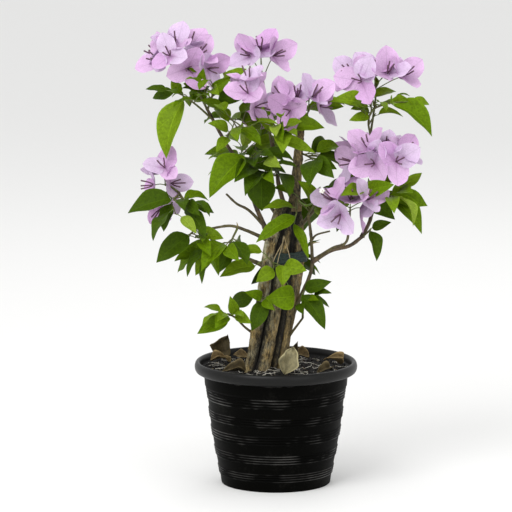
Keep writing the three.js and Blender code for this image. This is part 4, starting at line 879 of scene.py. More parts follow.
def papery_bract(name, colour, throat):
    """A papery bract: matt, deeper at its throat, partly as painted shade, with a fine network of
    greyish-violet veins.
    """
    material, tree, shader = new_material(name, {"Roughness": 0.8, "Specular IOR Level": 0.15})
    lines, along, off = veins(tree, pairs=6.0, slant=2.2, width=0.055)
    place = add(tree, "ShaderNodeUVMap", uv_map="blade").outputs["UV"]
    scaled = add(tree, "ShaderNodeMapping", {"Vector": place, "Scale": (12, 10, 1)}).outputs["Vector"]
    cells = add(tree, "ShaderNodeTexVoronoi", {"Vector": scaled, "Scale": 1.0}, feature="DISTANCE_TO_EDGE")
    ends = {"Value": cells.outputs["Distance"], "From Min": 0.07, "From Max": 0.0, "To Max": 0.75}
    net = add(tree, "ShaderNodeMapRange", ends).outputs["Result"]
    both = add(tree, "ShaderNodeMath", {0: lines, 1: net}, operation="MAXIMUM").outputs[0]

    # The colour pales away from the throat, and the veins fade towards the tip. The deeper throat is partly
    # painted shade where the bracts overlap, and the pale margin is partly painted light through the thin
    # paper.
    aside = add(tree, "ShaderNodeMath", {0: off, 1: 0.35}, operation="MULTIPLY").outputs[0]
    outward = add(tree, "ShaderNodeMath", {0: along, 1: 0.65, 2: aside}, operation="MULTIPLY_ADD").outputs[0]
    stops = [(0.05, throat), (0.3, shade(colour, 0.94)), (0.6, colour), (0.85, shade(colour, 1.09))]
    base = add(tree, "ShaderNodeValToRGB", {"Fac": outward}, stops).outputs["Color"]
    ends = {"Value": along, "From Max": 0.9, "To Min": 0.62, "To Max": 0.32}
    fading = add(tree, "ShaderNodeMapRange", ends)
    amount = add(tree, "ShaderNodeMath", {0: both, 1: fading.outputs["Result"]}, operation="MULTIPLY")
    ends = {0: amount.outputs[0], 6: base, 7: shade(colour, 0.45)}
    mixed = add(tree, "ShaderNodeMix", ends, data_type="RGBA")
    surface(tree, shader, mixed.outputs[2], both, 0.35, 0.5)
    return material


def withered_leaf(name, hex_colour):
    """A dead leaf: dry and matt, blotched, with a pale rim and its veins standing out."""
    colour = linear(hex_colour)
    material, tree, shader = new_material(name, {"Roughness": 0.8})
    lines, _along, off = veins(tree, pairs=7.0, slant=2.4, width=0.07)
    blotch = pattern(tree, "ShaderNodeTexNoise", 9, Detail=6, Roughness=0.7).outputs["Fac"]
    stops = [(0.35, shade(colour, 0.5)), (0.6, colour), (0.75, shade(colour, 1.3))]
    base = add(tree, "ShaderNodeValToRGB", {"Fac": blotch}, stops).outputs["Color"]
    rim = add(tree, "ShaderNodeMapRange", {"Value": off, "From Min": 0.8, "From Max": 1.0, "To Max": 0.6})
    ends = {0: rim.outputs["Result"], 6: base, 7: shade(colour, 1.9)}
    edged = add(tree, "ShaderNodeMix", ends, data_type="RGBA")
    height = add(tree, "ShaderNodeMath", {0: lines, 1: blotch}, operation="ADD").outputs[0]
    surface(tree, shader, edged.outputs[2], height, 0.7, 1)
    return material


def dice(seed):
    """The source's short generator: values from 0 to 1."""
    state = seed * 7919

    def roll():
        nonlocal state
        state = (state * 16807) % 2147483647
        return state / 2147483647

    return roll


def between(roll, low, high):
    """A value drawn between two."""
    return low + (high - low) * roll()


def unit(way):
    return way / np.linalg.norm(way)


def turned(way, axis, angle):
    """A direction turned about an axis."""
    kept = axis * np.dot(axis, way) * (1 - math.cos(angle))
    return way * math.cos(angle) + np.cross(axis, way) * math.sin(angle) + kept


def tapered(girth, share):
    """A limb's girth at a share of its length, from its foot's to its tip's."""
    return girth[0] * (1 - share) + girth[1] * share


def along_route(route, shares):
    """The points at shares from 0 to 1 of the smooth curve through a route."""
    points = np.array(route, float)
    padded = np.vstack([2 * points[0] - points[1], points, 2 * points[-1] - points[-2]])
    spans = len(points) - 1
    place = np.clip(np.atleast_1d(shares) * spans, 0, spans)
    first = np.minimum(place.astype(int), spans - 1)
    t = (place - first)[:, None]
    before, a, b, after = (padded[first + k] for k in range(4))
    leave, arrive = (b - before) / 2, (after - a) / 2
    return (
        (2 * t**3 - 3 * t**2 + 1) * a
        + (t**3 - 2 * t**2 + t) * leave
        + (3 * t**2 - 2 * t**3) * b
        + (t**3 - t**2) * arrive
    )


def heading_at(route, share):
    ends = along_route(route, [max(0, share - 1e-3), min(1, share + 1e-3)])
    return unit(ends[1] - ends[0])


def route_length(route):
    points = along_route(route, np.linspace(0, 1, 24))
    return float(np.linalg.norm(np.diff(points, axis=0), axis=1).sum())


def points_every(route, spacing):
    return along_route(route, np.linspace(0, 1, max(2, math.ceil(route_length(route) / spacing) + 1)))


def nearest(points, place):
    return points[np.argmin(((points - place) ** 2).sum(1))]


class Space:
    """The balls of room that wood and blades take up."""

    def __init__(self):
        self.points = np.empty((0, 3))
        self.radii = np.empty(0)

    def fill(self, points, radius):
        self.points = np.vstack([self.points, points])
        self.radii = np.concatenate([self.radii, np.full(len(points), radius)])

    def is_free(self, points, margin):
        if not len(self.points):
            return True
        gaps = np.linalg.norm(points[:, None] - self.points[None], axis=2) - self.radii[None]
        return bool((gaps > margin).all())


def blade_frame(base, tip, facing):
    """Length, and the ways along, across and out of a blade."""
    span = np.asarray(tip) - base
    axis = unit(span)
    normal = unit(facing - axis * np.dot(facing, axis))
    return float(np.linalg.norm(span)), axis, np.cross(normal, axis), normal


def toward_light(point):
    """Light reaches a leaf from above, and from the front or the back of the crown."""
    side = 30 if point[1] > 0 else -30
    return unit(np.array([0.3 * (point[0] - CROWN_MIDDLE), point[1] + side, 0])) * 0.9 + UP


def make_leaf(root, base, tip, width, tone, roll):
    """One leaf: its stalk's root, its blade's ends, the way it faces, and how it is bent."""
    leaf = {
        "root": np.asarray(root),
        "base": np.asarray(base, float),
        "tip": np.asarray(tip, float),
        "facing": turned(toward_light(base), unit(np.asarray(tip) - base), (roll() - 0.5) * LEAF_ROLL),
        "width": width * between(roll, *LEAF_BREADTH),
        "tone": tone,
    }
    for key, (least, most) in LEAF_BENDS.items():
        leaf[key] = between(roll, least, most)
    return leaf


def blade_points(leaf):
    """A few points that stand for a leaf's blade when its room is measured."""
    length, axis, side, _normal = blade_frame(leaf["base"], leaf["tip"], leaf["facing"])
    half = length * leaf["width"] / 2
    shares = [(0.2, 0), (0.4, -0.6), (0.4, 0.6), (0.5, 0), (0.7, -0.4), (0.7, 0.4), (0.95, 0)]
    return np.array([leaf["base"] + axis * u * length + side * v * half for u, v in shares])


def hides_a_limb(points, shown):
    """Whether a blade stands between the eye in front and the limbs that stay in view."""
    ahead = points[:, None] - shown[None]
    risen = ahead[..., 2] - VIEW_FALL * -ahead[..., 1]
    return bool(((ahead[..., 1] < 0) & (np.hypot(ahead[..., 0], risen) < VIEW_MARGIN)).any())


def side_shoots(mass, count, seed, first):
    """Side twigs leave the stem in turn round it, lean outward and rise at their tips."""
    roll = dice(seed)
    shoots = []
    for i in range(count):
        share = first + (1 - first) * (i + 0.6) / count
        foot = along_route(mass["stem"], share)[0]
        ahead = heading_at(mass["stem"], share)
        turn = math.radians(GOLDEN_ANGLE * i + 360 * roll())
        outward = np.array([math.cos(turn), math.sin(turn), 0.4 * (roll() - 0.3)])
        way = unit(outward + ahead * 0.7)
        length = mass["reach"] * between(roll, 0.65, 1)
        middle = foot + way * length * 0.5 + UP * length * 0.08
        shoots.append([foot, middle, foot + way * length + UP * length * 0.06])
    return shoots


def leaf_tone(mass, roll, share):
    """Most leaves of a mass have its tone; the rest are one tone lighter or darker, and tips are young."""
    if share > 0.95 and roll() < YOUNG_TIPS:
        return "young"
    step = 0 if roll() < OWN_TONE else (1 if roll() < 0.5 else -1)
    return TONES[min(2, max(0, TONES.index(mass["tone"]) + step))]


def leaves_on_shoot(route, mass, roll, spacing, width):
    """Leaves stand by turns along a shoot, smaller towards its tip, and one ends it."""
    count = max(2, round(route_length(route) / spacing))
    leaves = []
    for i in range(count + 1):
        share = 0.25 + 0.75 * i / count
        root = along_route(route, share)[0]
        ahead = heading_at(route, share)
        level = unit(np.cross(ahead, UP))
        turn = (1 if i % 2 else -1) * (0.1 if i == count else 1)
        way = unit(level * turn + ahead * 0.75 + UP * between(roll, 0.35, -0.15))
        way = turned(way, UP, LEAF_SWAY * (roll() - 0.5))
        base = root + way * between(roll, *STALK_LENGTH)
        size = LEAF_SCALE * mass["size"] * between(roll, *LEAF_SIZES) * (0.8 if share > 0.9 else 1)
        tip = base + way * size - UP * size * between(roll, *LEAF_HANG)
        leaves.append(make_leaf(root, base, tip, width, leaf_tone(mass, roll, share), roll))
    return leaves


def bloom_bracts(bloom):
    """The three bracts of one bloom, each with its seat, tip and inner side."""
    bracts = []
    for k in range(BRACTS):
        angle = k * 2 * math.pi / BRACTS + bloom["turns"][k]
        opening = bloom["opening"] + bloom["lifts"][k]
        out = turned(bloom["first"], bloom["axis"], angle)
        way = out * math.sin(opening) + bloom["axis"] * math.cos(opening)
        tip = bloom["seat"] + way * bloom["size"]
        inner = unit(bloom["axis"] - way * np.dot(bloom["axis"], way))
        bracts.append({"base": bloom["seat"] + out * 0.8, "tip": tip, "facing": inner, "way": way})
    return bracts


def make_bloom(foot, seat, axis, roll, size):
    """One bloom: its stalk's ends, its axis, how far it opens, and the draws that shape its bracts."""
    level = unit(np.cross([axis[2], axis[0], -axis[1]], axis))
    return {
        "foot": foot,
        "seat": seat,
        "axis": axis,
        "first": turned(level, axis, roll() * 2 * math.pi),
        "opening": math.radians(between(roll, *BLOOM_OPENING)),
        "size": size * between(roll, *BLOOM_SIZES),
        "turns": [between(roll, *BRACT_SWAY) for _ in range(BRACTS)],
        "lifts": [between(roll, *BRACT_SWAY) for _ in range(BRACTS)],
        "shape": [roll() for _ in range(8)],
    }


def mass_blooms(mass, size, taken):
    """Blooms are tried evenly over a dome round the stem's end; one too near another is left out."""
    roll = dice(mass["seed"])
    hub = np.array(mass["stem"][-1], float)
    apart = BLOOMS_APART + APART_BY_SPREAD * max(mass["spread"])
    blooms = []
    for i in range(BLOOM_TRIES):
        height = mass.get("top", 1) - mass.get("depth", DOME_DEPTH) * (i + 0.5) / BLOOM_TRIES
        turn = math.radians(GOLDEN_ANGLE * i) + math.pi * 2 * roll()
        level = math.sqrt(1 - height * height)
        way = np.array([math.cos(turn) * level, math.sin(turn) * level, height])
        seat = hub + way * np.array(mass["spread"]) * between(roll, *DOME_REACH) + UP * mass.get("rise", 0)
        foot = along_route(mass["stem"], 1 - 0.5 * i / BLOOM_TRIES)[0]
        axis = unit((way + np.array(mass["lean"])) * UPRIGHT)
        bloom = make_bloom(foot, seat, axis, roll, size * mass.get("scale", 1))
        if any(np.linalg.norm(seat - other["seat"]) < apart for other in blooms):
            continue
        if not taken.is_free(np.array([seat]), mass.get("room", BLOOM_ROOM)):
            continue
        blooms.append(bloom)
    return blooms


def limb_space():
    """The room that canes and boughs take up."""
    wood = Space()
    for limb in [*CANES, *BOUGHS.values()]:
        points = points_every(limb["route"], 3)
        for point, share in zip(points, np.linspace(0, 1, len(points))):
            wood.fill(point[None], tapered(limb["girth"], share) / 2)
    return wood


def rooted(mass, wood):
    """A mass whose stem starts on the nearest limb."""
    foot, *rest = (np.array(point, float) for point in mass["stem"])
    return {**mass, "stem": [nearest(wood.points, foot), *rest]}


def large_leaves(name, mass, leaf_width):
    """The leaves of a mass that stand where its table puts them."""
    roll = dice(mass["seed"])
    stem_points = points_every(mass["stem"], 3)[1:]
    leaves = []
    for k, (start, end) in enumerate(mass["leaves"]):
        base, tip = np.array(start, float), np.array(end, float)
        root = nearest(stem_points, base + unit(base - tip) * STALK_BACK)
        width = leaf_width * BREADTHS.get((name, k), 1)
        leaf = make_leaf(root, base, tip, width, leaf_tone(mass, roll, 0.5), roll)
        if name not in EDGE_ON:
            leaf["facing"] = unit(leaf["facing"] + FRONT)
        leaves.append(leaf)
    return leaves


def small_leaves(mass, leaf_width, spacing, wood, blades, shown):
    """The side shoots of a mass and their leaves, where there is room for at least one."""
    routes = side_shoots(mass, mass["shoots"], mass["seed"], FIRST_SHOOT)
    routes += side_shoots(mass, mass["shoots"] + 1, mass["seed"] + FINE_SEED, FIRST_FINE_SHOOT)
    roll = dice(mass["seed"] + 1)
    shoots, leaves = [], []
    for route in routes:
        if not wood.is_free(points_every(route, 5)[1:], SHOOT_OFF_WOOD):
            continue
        kept = []
        for leaf in leaves_on_shoot(route, mass, roll, spacing, leaf_width):
            points = blade_points(leaf)
            free = wood.is_free(points, LEAF_OFF_WOOD) and blades.is_free(points, LEAF_OFF_BLADES)
            if free and not hides_a_limb(points, shown):
                blades.fill(points, LEAF_BALL)
                kept.append(leaf)
        if kept:
            shoots.append(route)
            leaves += kept
    return shoots, leaves


@functools.lru_cache(maxsize=1)
def grown(leaf_width, leaf_spacing, bract_length):
    """Stems, shoots, leaves and blooms. Large leaves take their room first, then blooms, then the rest."""
    wood, blades = limb_space(), Space()
    in_view = [BOUGHS[name] for name in IN_VIEW] + CANES
    shown = np.vstack([points_every(limb["route"], 4) for limb in in_view])
    leaf_masses = {name: rooted(mass, wood) for name, mass in LEAF_MASSES.items()}
    bloom_masses = [rooted(mass, wood) for mass in BLOOM_MASSES.values()]
    stems = [mass["stem"] for mass in [*leaf_masses.values(), *bloom_masses]]
    plant = {"stems": stems, "shoots": [], "leaves": [], "blooms": []}
    for name, mass in leaf_masses.items():
        for leaf in large_leaves(name, mass, leaf_width):
            blades.fill(blade_points(leaf), LEAF_BALL)
            plant["leaves"].append(leaf)
    for mass in bloom_masses:
        for bloom in mass_blooms(mass, bract_length, blades):
            for bract in bloom_bracts(bloom):
                middle = (bract["base"] + bract["tip"]) / 2
                blades.fill(np.array([middle, bract["tip"] * 0.8 + bract["base"] * 0.2]), BRACT_BALL)
            plant["blooms"].append(bloom)
    for mass in leaf_masses.values():
        shoots, leaves = small_leaves(mass, leaf_width, leaf_spacing, wood, blades, shown)
        plant["shoots"] += shoots
        plant["leaves"] += leaves
    return plant


def plant_now():
    """What grows with the sizes that are set."""
    leaf, bloom = bpy.context.scene.bush_leaf, bpy.context.scene.bush_bloom
    return grown(leaf.width, leaf.spacing / MM, bloom.bract / MM)


def grid_template(rows, columns):
    """A flat sheet's places from 0 to 1 along and across, and its faces."""
    sheet = bmesh.new()
    bmesh.ops.create_grid(sheet, x_segments=rows, y_segments=columns, size=0.5)
    places = np.array([(v.co.x + 0.5, v.co.y + 0.5) for v in sheet.verts])
    faces = [[v.index for v in face.verts] for face in sheet.faces]
    sheet.free()
    return places, faces


@functools.lru_cache(maxsize=None)
def rod_template(rows, sides):
    """A closed rod's places, share along it and angle round it, and its faces."""
    rod = bmesh.new()
    bmesh.ops.create_cone(rod, cap_ends=True, segments=sides, radius1=1, radius2=1, depth=1)
    if rows > 1:
        upright = [edge for edge in rod.edges if abs(edge.verts[0].co.z - edge.verts[1].co.z) > 0.5]
        bmesh.ops.subdivide_edges(rod, edges=upright, cuts=rows - 1, use_grid_fill=True)
    rod.verts.index_update()
    places = np.array([(v.co.z + 0.5, math.atan2(v.co.y, v.co.x)) for v in rod.verts])
    faces = [[v.index for v in face.verts] for face in rod.faces]
    rod.free()
    return places, faces


class Gathered:
    """Many small shapes joined into one mesh."""

    def __init__(self):
        self.points = []
        self.faces = []
        self.places = []
        self.count = 0

    def take(self, points, faces, places=None):
        self.points.append(points)
        self.faces.extend([[i + self.count for i in face] for face in faces])
        self.places.append(np.zeros((len(points), 2)) if places is None else places)
        self.count += len(points)

    def piece(self, name, material, slot, nodes=(), smooth=True):
        """One object in metres, that rides on the plant and stands for the CAD nodes named."""
        mesh = bpy.data.meshes.new(name)
        mesh.from_pydata((np.vstack(self.points) * MM).tolist(), [], self.faces)
        uv = mesh.uv_layers.new(name="blade")
        corners = np.zeros(len(mesh.loops), int)
        mesh.loops.foreach_get("vertex_index", corners)
        uv.data.foreach_set("uv", np.vstack(self.places)[corners].ravel())
        if smooth:
            mesh.shade_smooth()
        mesh.validate()
        return settle(mesh, name, material, slot, nodes)


def settle(mesh, name, material, slot, nodes=()):
    """Link a finished mesh, give it its material, hang it on the plant's root, and hide the CAD nodes that it
    stands for.
    """
    piece = bpy.data.objects.new(name, mesh)
    bpy.context.scene.collection.objects.link(piece)
    mesh.materials.append(material)
    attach(piece, "root")
    if nodes:
        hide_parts(*nodes)
    return piece


def finish_bmesh(shape, name):
    """A bmesh in millimetres becomes a smooth mesh in metres."""
    bmesh.ops.scale(shape, vec=(MM, MM, MM), verts=shape.verts)
    mesh = bpy.data.meshes.new(name)
    shape.to_mesh(mesh)
    shape.free()
    mesh.shade_smooth()
    return mesh


def thicken(piece, thickness, offset=-1):
    """Give a sheet its thickness in millimetres: offset -1 puts it under the sheet, 0 on both sides."""
    solidify = piece.modifiers.new("thickness", "SOLIDIFY")
    solidify.thickness = thickness * MM
    solidify.offset = offset


def bent_rod(route, radius_at, sides, spacing):
    """A rod along a route: its points, its faces, their places on it and the ways out from its middle.

    radius_at gives the radius at each share of the length and angle.
    """
    rows = max(1, round(route_length(route) / spacing))
    places, faces = rod_template(rows, sides)
    centres = along_route(route, np.linspace(0, 1, rows + 1))
    aheads = np.gradient(centres, axis=0)
    aheads /= np.linalg.norm(aheads, axis=1)[:, None]
    side = np.array([1.0, 0, 0]) if abs(aheads[0][2]) > 0.9 else UP
    first_sides = []
    for ahead in aheads:
        side = unit(side - ahead * np.dot(side, ahead))
        first_sides.append(side)
    around = np.array(first_sides)
    across = np.cross(aheads, around)
    row = np.round(places[:, 0] * rows).astype(int)
    angle = places[:, 1]
    radius = np.array([radius_at(s, a) for s, a in zip(places[:, 0], angle)])
    ways = around[row] * np.cos(angle)[:, None] + across[row] * np.sin(angle)[:, None]
    return centres[row] + ways * radius[:, None], faces, places, ways


def twig_rod(gathered, route, girth, sides, spacing):
    """One smooth twig, tapered between two girths, added to what is gathered."""
    points, faces, places, _ways = bent_rod(
        route, lambda share, _angle: tapered(girth, share) / 2, sides, spacing
    )
    gathered.take(points, faces, places)


def studio(sizes):
    """A plain floor, soft light from above and the front, and the photograph's camera."""
    finish = {"Base Color": sizes.floor, "Roughness": 0.9}
    floor_material, _tree, _shader = new_material("studio_floor", finish)
    shape = bmesh.new()
    bmesh.ops.create_grid(shape, x_segments=1, y_segments=1, size=30)
    bmesh.ops.translate(shape, vec=(0, 12, 0), verts=shape.verts)
    mesh = bpy.data.meshes.new("studio_floor")
    shape.to_mesh(mesh)
    shape.free()
    mesh.materials.append(floor_material)
    floor = bpy.data.objects.new("studio_floor", mesh)
    bpy.context.scene.collection.objects.link(floor)

    world = bpy.data.worlds.new("studio")
    world.use_nodes = True
    background = world.node_tree.nodes["Background"]
    background.inputs["Color"].default_value = (1.0, 1.0, 1.0, 1.0)
    background.inputs["Strength"].default_value = WORLD_STRENGTH
    bpy.context.scene.world = world
    bpy.context.scene.view_settings.view_transform = "Standard"

    powers = {"key": sizes.key, "fill": sizes.fill, "rim": sizes.fill * RIM_SHARE}
    for name, (place, size) in LAMPS.items():
        light = bpy.data.lights.new(name, "AREA")
        light.size, light.energy = size, powers[name]
        lamp = bpy.data.objects.new(name, light)
        lamp.location = place
        lamp.rotation_euler = (LAMP_AIM - Vector(place)).to_track_quat("-Z", "Y").to_euler()
        bpy.context.scene.collection.objects.link(lamp)

    camera = bpy.data.objects.new("camera", bpy.data.cameras.new("camera"))
    camera.data.lens = CAMERA_LENS
    camera.data.sensor_width = 36
    camera.data.dof.use_dof = False
    camera.data.clip_end = 200
    down = math.radians(CAMERA_DOWN)
    camera.location = (
        CAMERA_SIDE,
        -CAMERA_AWAY * math.cos(down),
        CAMERA_AIM + CAMERA_AWAY * math.sin(down),
    )
    camera.rotation_euler = (math.pi / 2 - down, 0, 0)
    bpy.context.scene.collection.objects.link(camera)
    bpy.context.scene.camera = camera


def rib_height(height, depth):
    """How far the moulded ribs stand out of the wall at a height, in mm."""
    for top, foot in RIB_GROUPS:
        if foot <= height <= top:
            phase = (height - foot) / (top - foot) * RIBS_IN_GROUP
            return depth * math.sin(math.pi * (phase % 1)) ** RIB_SHARPNESS
    return 0.0


def pot_outline(depth):
    """The pot's section, from the middle of its underside up its outside, over the lip and down inside."""
    radii, heights = zip(*POT_WALL)
    outline = list(POT_UNDERSIDE)
    for height in np.arange(1, heights[-1] + 0.1, WALL_STEP):
        radius = float(np.interp(height, heights, radii)) + rib_height(height, depth)
        outline.append((radius, float(height)))
    middle, level = LIP_MIDDLE
    outline.append((middle - 2, heights[-1] + 0.5))
    for angle in np.radians(np.arange(-80, 181, 20)):
        outline.append((middle + LIP_ROUND[0] * math.cos(angle), level + LIP_ROUND[1] * math.sin(angle)))
    return outline + POT_INSIDE


def build_pot(sizes):
    """The pot is its section spun round its axis. Its ribs and lip are marked for their polish, and the ribs
    also for their painted glint.
    """
    shape = bmesh.new()
    corners = [shape.verts.new((radius, 0, height)) for radius, height in pot_outline(sizes.rib_depth / MM)]
    edges = [shape.edges.new(pair) for pair in zip(corners, corners[1:])]
    bmesh.ops.spin(
        shape,
        geom=[*corners, *edges],
        cent=(0, 0, 0),
        axis=(0, 0, 1),
        angle=2 * math.pi,
        steps=POT_STEPS,
        use_merge=True,
    )
    bmesh.ops.remove_doubles(shape, verts=shape.verts, dist=0.01)
    bmesh.ops.recalc_face_normals(shape, faces=shape.faces)
    # ridge marks the ribs' crests for their polish and for the glint painted on them
    ridge = shape.verts.layers.float.new("ridge")
    lip = shape.verts.layers.float.new("lip")
    for vert in shape.verts:
        vert[ridge] = rib_height(vert.co.z, 1.0)
        vert[lip] = float(vert.co.z > LIP_MIDDLE[1] - LIP_ROUND[1])
    mesh = finish_bmesh(shape, "pot_shell")
    settle(mesh, "pot_shell", moulded_pot(sizes), "pot", ["pot"])


def soil_height(x, y, lumpiness):
    """The potting mix is heaped round the canes, lumpy all over, and falls off at the pot's wall."""
    at = Vector((x * LUMPS_PER_MM, y * LUMPS_PER_MM, 0.0))
    lumps = noise.fractal(at, 0.9, 2.1, 5) * lumpiness
    off = (x - HEAP_MIDDLE[0]) ** 2 + (y - HEAP_MIDDLE[1]) ** 2
    heap = HEAP_HEIGHT * math.exp(-off / HEAP_SPREAD)
    return SOIL_LEVEL + heap + lumps - EDGE_FALL * (math.hypot(x, y) / SOIL_RADIUS) ** 6


def build_soil(sizes):
    """A square grid is drawn out to a round bed, given its lumps, and turned down at its edge."""
    shape = bmesh.new()
    bmesh.ops.create_grid(shape, x_segments=SOIL_CELLS, y_segments=SOIL_CELLS, size=1)
    lumpiness = sizes.lumpiness / MM
    for vert in shape.verts:
        x, y = vert.co.x, vert.co.y
        reach = max(abs(x), abs(y))
        stretch = SOIL_RADIUS * reach / math.hypot(x, y) if reach > 1e-6 else 0
        x, y = x * stretch, y * stretch
        vert.co = (x, y, soil_height(x, y, lumpiness))
    border = [edge for edge in shape.edges if edge.is_boundary]
    skirt = bmesh.ops.extrude_edge_only(shape, edges=border)
    for vert in skirt["geom"]:
        if isinstance(vert, bmesh.types.BMVert):
            vert.co.z -= SOIL_SKIRT
            vert.co.x *= SKIRT_SHARE
            vert.co.y *= SKIRT_SHARE
    bmesh.ops.recalc_face_normals(shape, faces=shape.faces)
    mesh = finish_bmesh(shape, "soil_bed")
    settle(mesh, "soil_bed", potting_mix(), "soil", ["soil"])
    roll = dice(CHIP_SEED)
    scatter_chips(roll, sizes.chips, lumpiness)
    scatter_fibres(roll, lumpiness)


def chip_template():
    """A rough chip: a small ball with few faces."""
    chip = bmesh.new()
    bmesh.ops.create_icosphere(chip, subdivisions=1, radius=1)
    points = np.array([v.co[:] for v in chip.verts])
    faces = [[v.index for v in face.verts] for face in chip.faces]
    chip.free()
    return points, faces


def scatter_chips(roll, chips, lumpiness):
    """Chips, dry scraps and grains lie all over the potting mix, stretched, rough, turned and tilted."""
    chip, faces = chip_template()
    for name, (share, longest, flatness, *colours) in BITS.items():
        gathered = Gathered()
        for _ in range(round(chips * share)):
            turn, reach = roll() * 2 * math.pi, CHIP_REACH * math.sqrt(roll())
            x, y = reach * math.cos(turn), reach * math.sin(turn)
            size = longest * between(roll, *CHIP_LENGTH) / 2
            breadth = size * between(roll, *CHIP_BREADTH)
            thickness = size * flatness * between(roll, *CHIP_THICKNESS)
            shape = chip * np.array([size, breadth, thickness])
            shape *= 1 + CHIP_ROUGHNESS * (np.array([roll() for _ in range(len(chip))])[:, None] - 0.5)
            spin, tilt = roll() * 2 * math.pi, (roll() - 0.5) * 1.3
            lean = Vector((math.sin(tilt) * math.cos(spin), math.sin(tilt) * math.sin(spin), math.cos(tilt)))
            tilted = np.array(Vector((0, 0, 1)).rotation_difference(lean).to_matrix())
            spun = np.array(Matrix.Rotation(spin, 3, "Z"))
            place = np.array([x, y, soil_height(x, y, lumpiness) + size * flatness * 0.3])
            gathered.take(shape @ (tilted @ spun).T + place, faces)
        gathered.piece(name, loose_bits(name, *colours, size_mm=4), "soil", smooth=False)


def scatter_fibres(roll, lumpiness):
    """Pale fibres lie bent over the chips."""
    fibres = Gathered()
    for _ in range(FIBRES):
        turn, reach = roll() * 2 * math.pi, between(roll, *FIBRE_PLACE)
        x, y = reach * math.cos(turn), reach * math.sin(turn)
        spin, length = roll() * 2 * math.pi, between(roll, *FIBRE_LENGTH)
        bend = roll() - 0.5
        route = []
        for step in range(4):
            way = spin + bend * step
            px, py = x + math.cos(way) * length * step / 3, y + math.sin(way) * length * step / 3
            if math.hypot(px, py) > FIBRE_REACH:
                drawn_in = FIBRE_REACH / math.hypot(px, py)
                px, py = px * drawn_in, py * drawn_in
            route.append((px, py, soil_height(px, py, lumpiness) + between(roll, 1.2, 3.7)))
        twig_rod(fibres, route, FIBRE_GIRTH, sides=4, spacing=6)
    fibres.piece("dry_fibres", loose_bits("dry_fibre", "#8d8777", "#dcd9cf", size_mm=9), "soil")


def blade_mesh_points(places, blade, outline, width, lift):
    """Bend a flat sheet into a blade. lift(u, v) is its height in shares of its length."""
    length, axis, side, normal = blade_frame(blade["base"], blade["tip"], blade["facing"])
    shares, widths = zip(*outline)
    u, v = places[:, 0], places[:, 1] * 2 - 1
    half = np.interp(u, shares, widths) * length * width / 2
    height = lift(u, v) * length
    base = np.asarray(blade["base"])
    return base + np.outer(u * length, axis) + np.outer(v * half, side) + np.outer(height, normal)


def leaf_lift(leaf):
    """A leaf arches, droops at its tip, folds along its midrib and waves at its margin."""

    def lift(u, v):
        arch = leaf["arch"] * np.sin(np.pi * u) - leaf["droop"] * u**2.4
        half = np.interp(u, *zip(*LEAF_OUTLINE)) * leaf["width"] / 2
        fold = leaf["fold"] * np.abs(v) ** 1.3 * half
        shift = 2 * np.pi * (1.7 * u + leaf["phase"]) + np.sign(v)
        return arch + fold + leaf["wave"] * np.sin(shift) * v**2 * np.sin(np.pi * u)

    return lift


def litter_lift(curl, phase, twist):
    """A withered leaf rolls up at its sides, bends along, twists and crumples."""

    def lift(u, v):
        rolled = 0.42 * curl * np.abs(v) ** 1.5 * np.sin(np.pi * np.clip(u * 0.9 + 0.1, 0, 1))
        bend = 0.15 * curl * np.sin(np.pi * u) + 0.35 * twist * v * u
        crumple = 0.07 * np.sin(9 * u + 6 * phase) * np.cos(5 * v + 4 * phase)
        return rolled + bend + crumple

    return lift


def build_litter():
    """Withered leaves with ragged margins, one piece for each finish."""
    places, faces = grid_template(*LITTER_CELLS)
    gathered = {}
    roll = dice(LITTER_SEED)
    for base, tip, width, curl, finish in LITTER:
        base, tip = np.array(base, float), np.array(tip, float)
        blade = {"base": base, "tip": tip, "facing": np.array(LITTER_FACING)}
        phase, twist = roll(), roll() - 0.5
        outline = [(u, half * (1 + 0.12 * math.sin(13 * u + 6 * phase))) for u, half in LEAF_OUTLINE]
        points = blade_mesh_points(places, blade, outline, width, litter_lift(curl, phase, twist))
        gathered.setdefault(finish, Gathered()).take(points, faces, places)
    for finish, joined in gathered.items():
        piece = joined.piece(f"litter_{finish}", withered_leaf(finish, LITTER_COLOURS[finish]), "soil")
        thicken(piece, LITTER_THICKNESS, offset=0)


def bark_relief(point_along, angle, seed, girth):
    """Furrows that run up a cane, from -1 in a groove to 1 on a ridge."""
    ring = FURROWS_ROUND * girth / FURROWS_GIRTH
    at = Vector((math.cos(angle) * ring + seed * 7.3, math.sin(angle) * ring, point_along * FURROWS_UP))
    broad = noise.noise(at * 0.8)
    ridged = 1 - 2 * abs(noise.noise(at * 1.9 + Vector((3.7, 1.1, 9.2))))
    fine = noise.fractal(at * 5.0, 0.8, 2.0, 3)
    return 0.45 * broad + 0.5 * ridged + 0.35 * fine


def bark_rod(shape, shade_layer, route, radius_at, sides, spacing, relief, seed, girth, crevice=None):
    """A limb with the bark's relief in its mesh, made from a bent cylinder.

    Each point keeps its painted shade: darker in a groove, and darker still in a crevice where one is given.
    """
    points, faces, places, ways = bent_rod(route, radius_at, sides, spacing)
    length = route_length(route)
    heights = np.array([bark_relief(s * length, a, seed, girth) for s, a in places])
    points = points + ways * (heights * relief)[:, None]
    # Painted shade: grooves are darker, and so is bark near another cane
    tones = 0.5 + 0.5 * np.clip(heights, -1, 1)
    if crevice is not None:
        tones *= crevice(points)
    verts = []
    for point, tone in zip(points, tones):
        vert = shape.verts.new(point)
        vert[shade_layer] = tone
        verts.append(vert)
    for face in faces:
        shape.faces.new([verts[i] for i in face])


def crevice_between(others):
    """How open a point is, from almost 0 where it meets another cane to 1 a little way off: the painted shade
    of the clefts.
    """
    axes = np.vstack([points_every(cane["route"], 4) for cane in others])

    def open_share(points):
        gaps = np.linalg.norm(points[:, None] - axes[None], axis=2).min(axis=1) - CANE_RADIUS
        return 0.04 + 0.96 * np.clip(gaps / CREVICE_WIDTH, 0, 1)

    return open_share


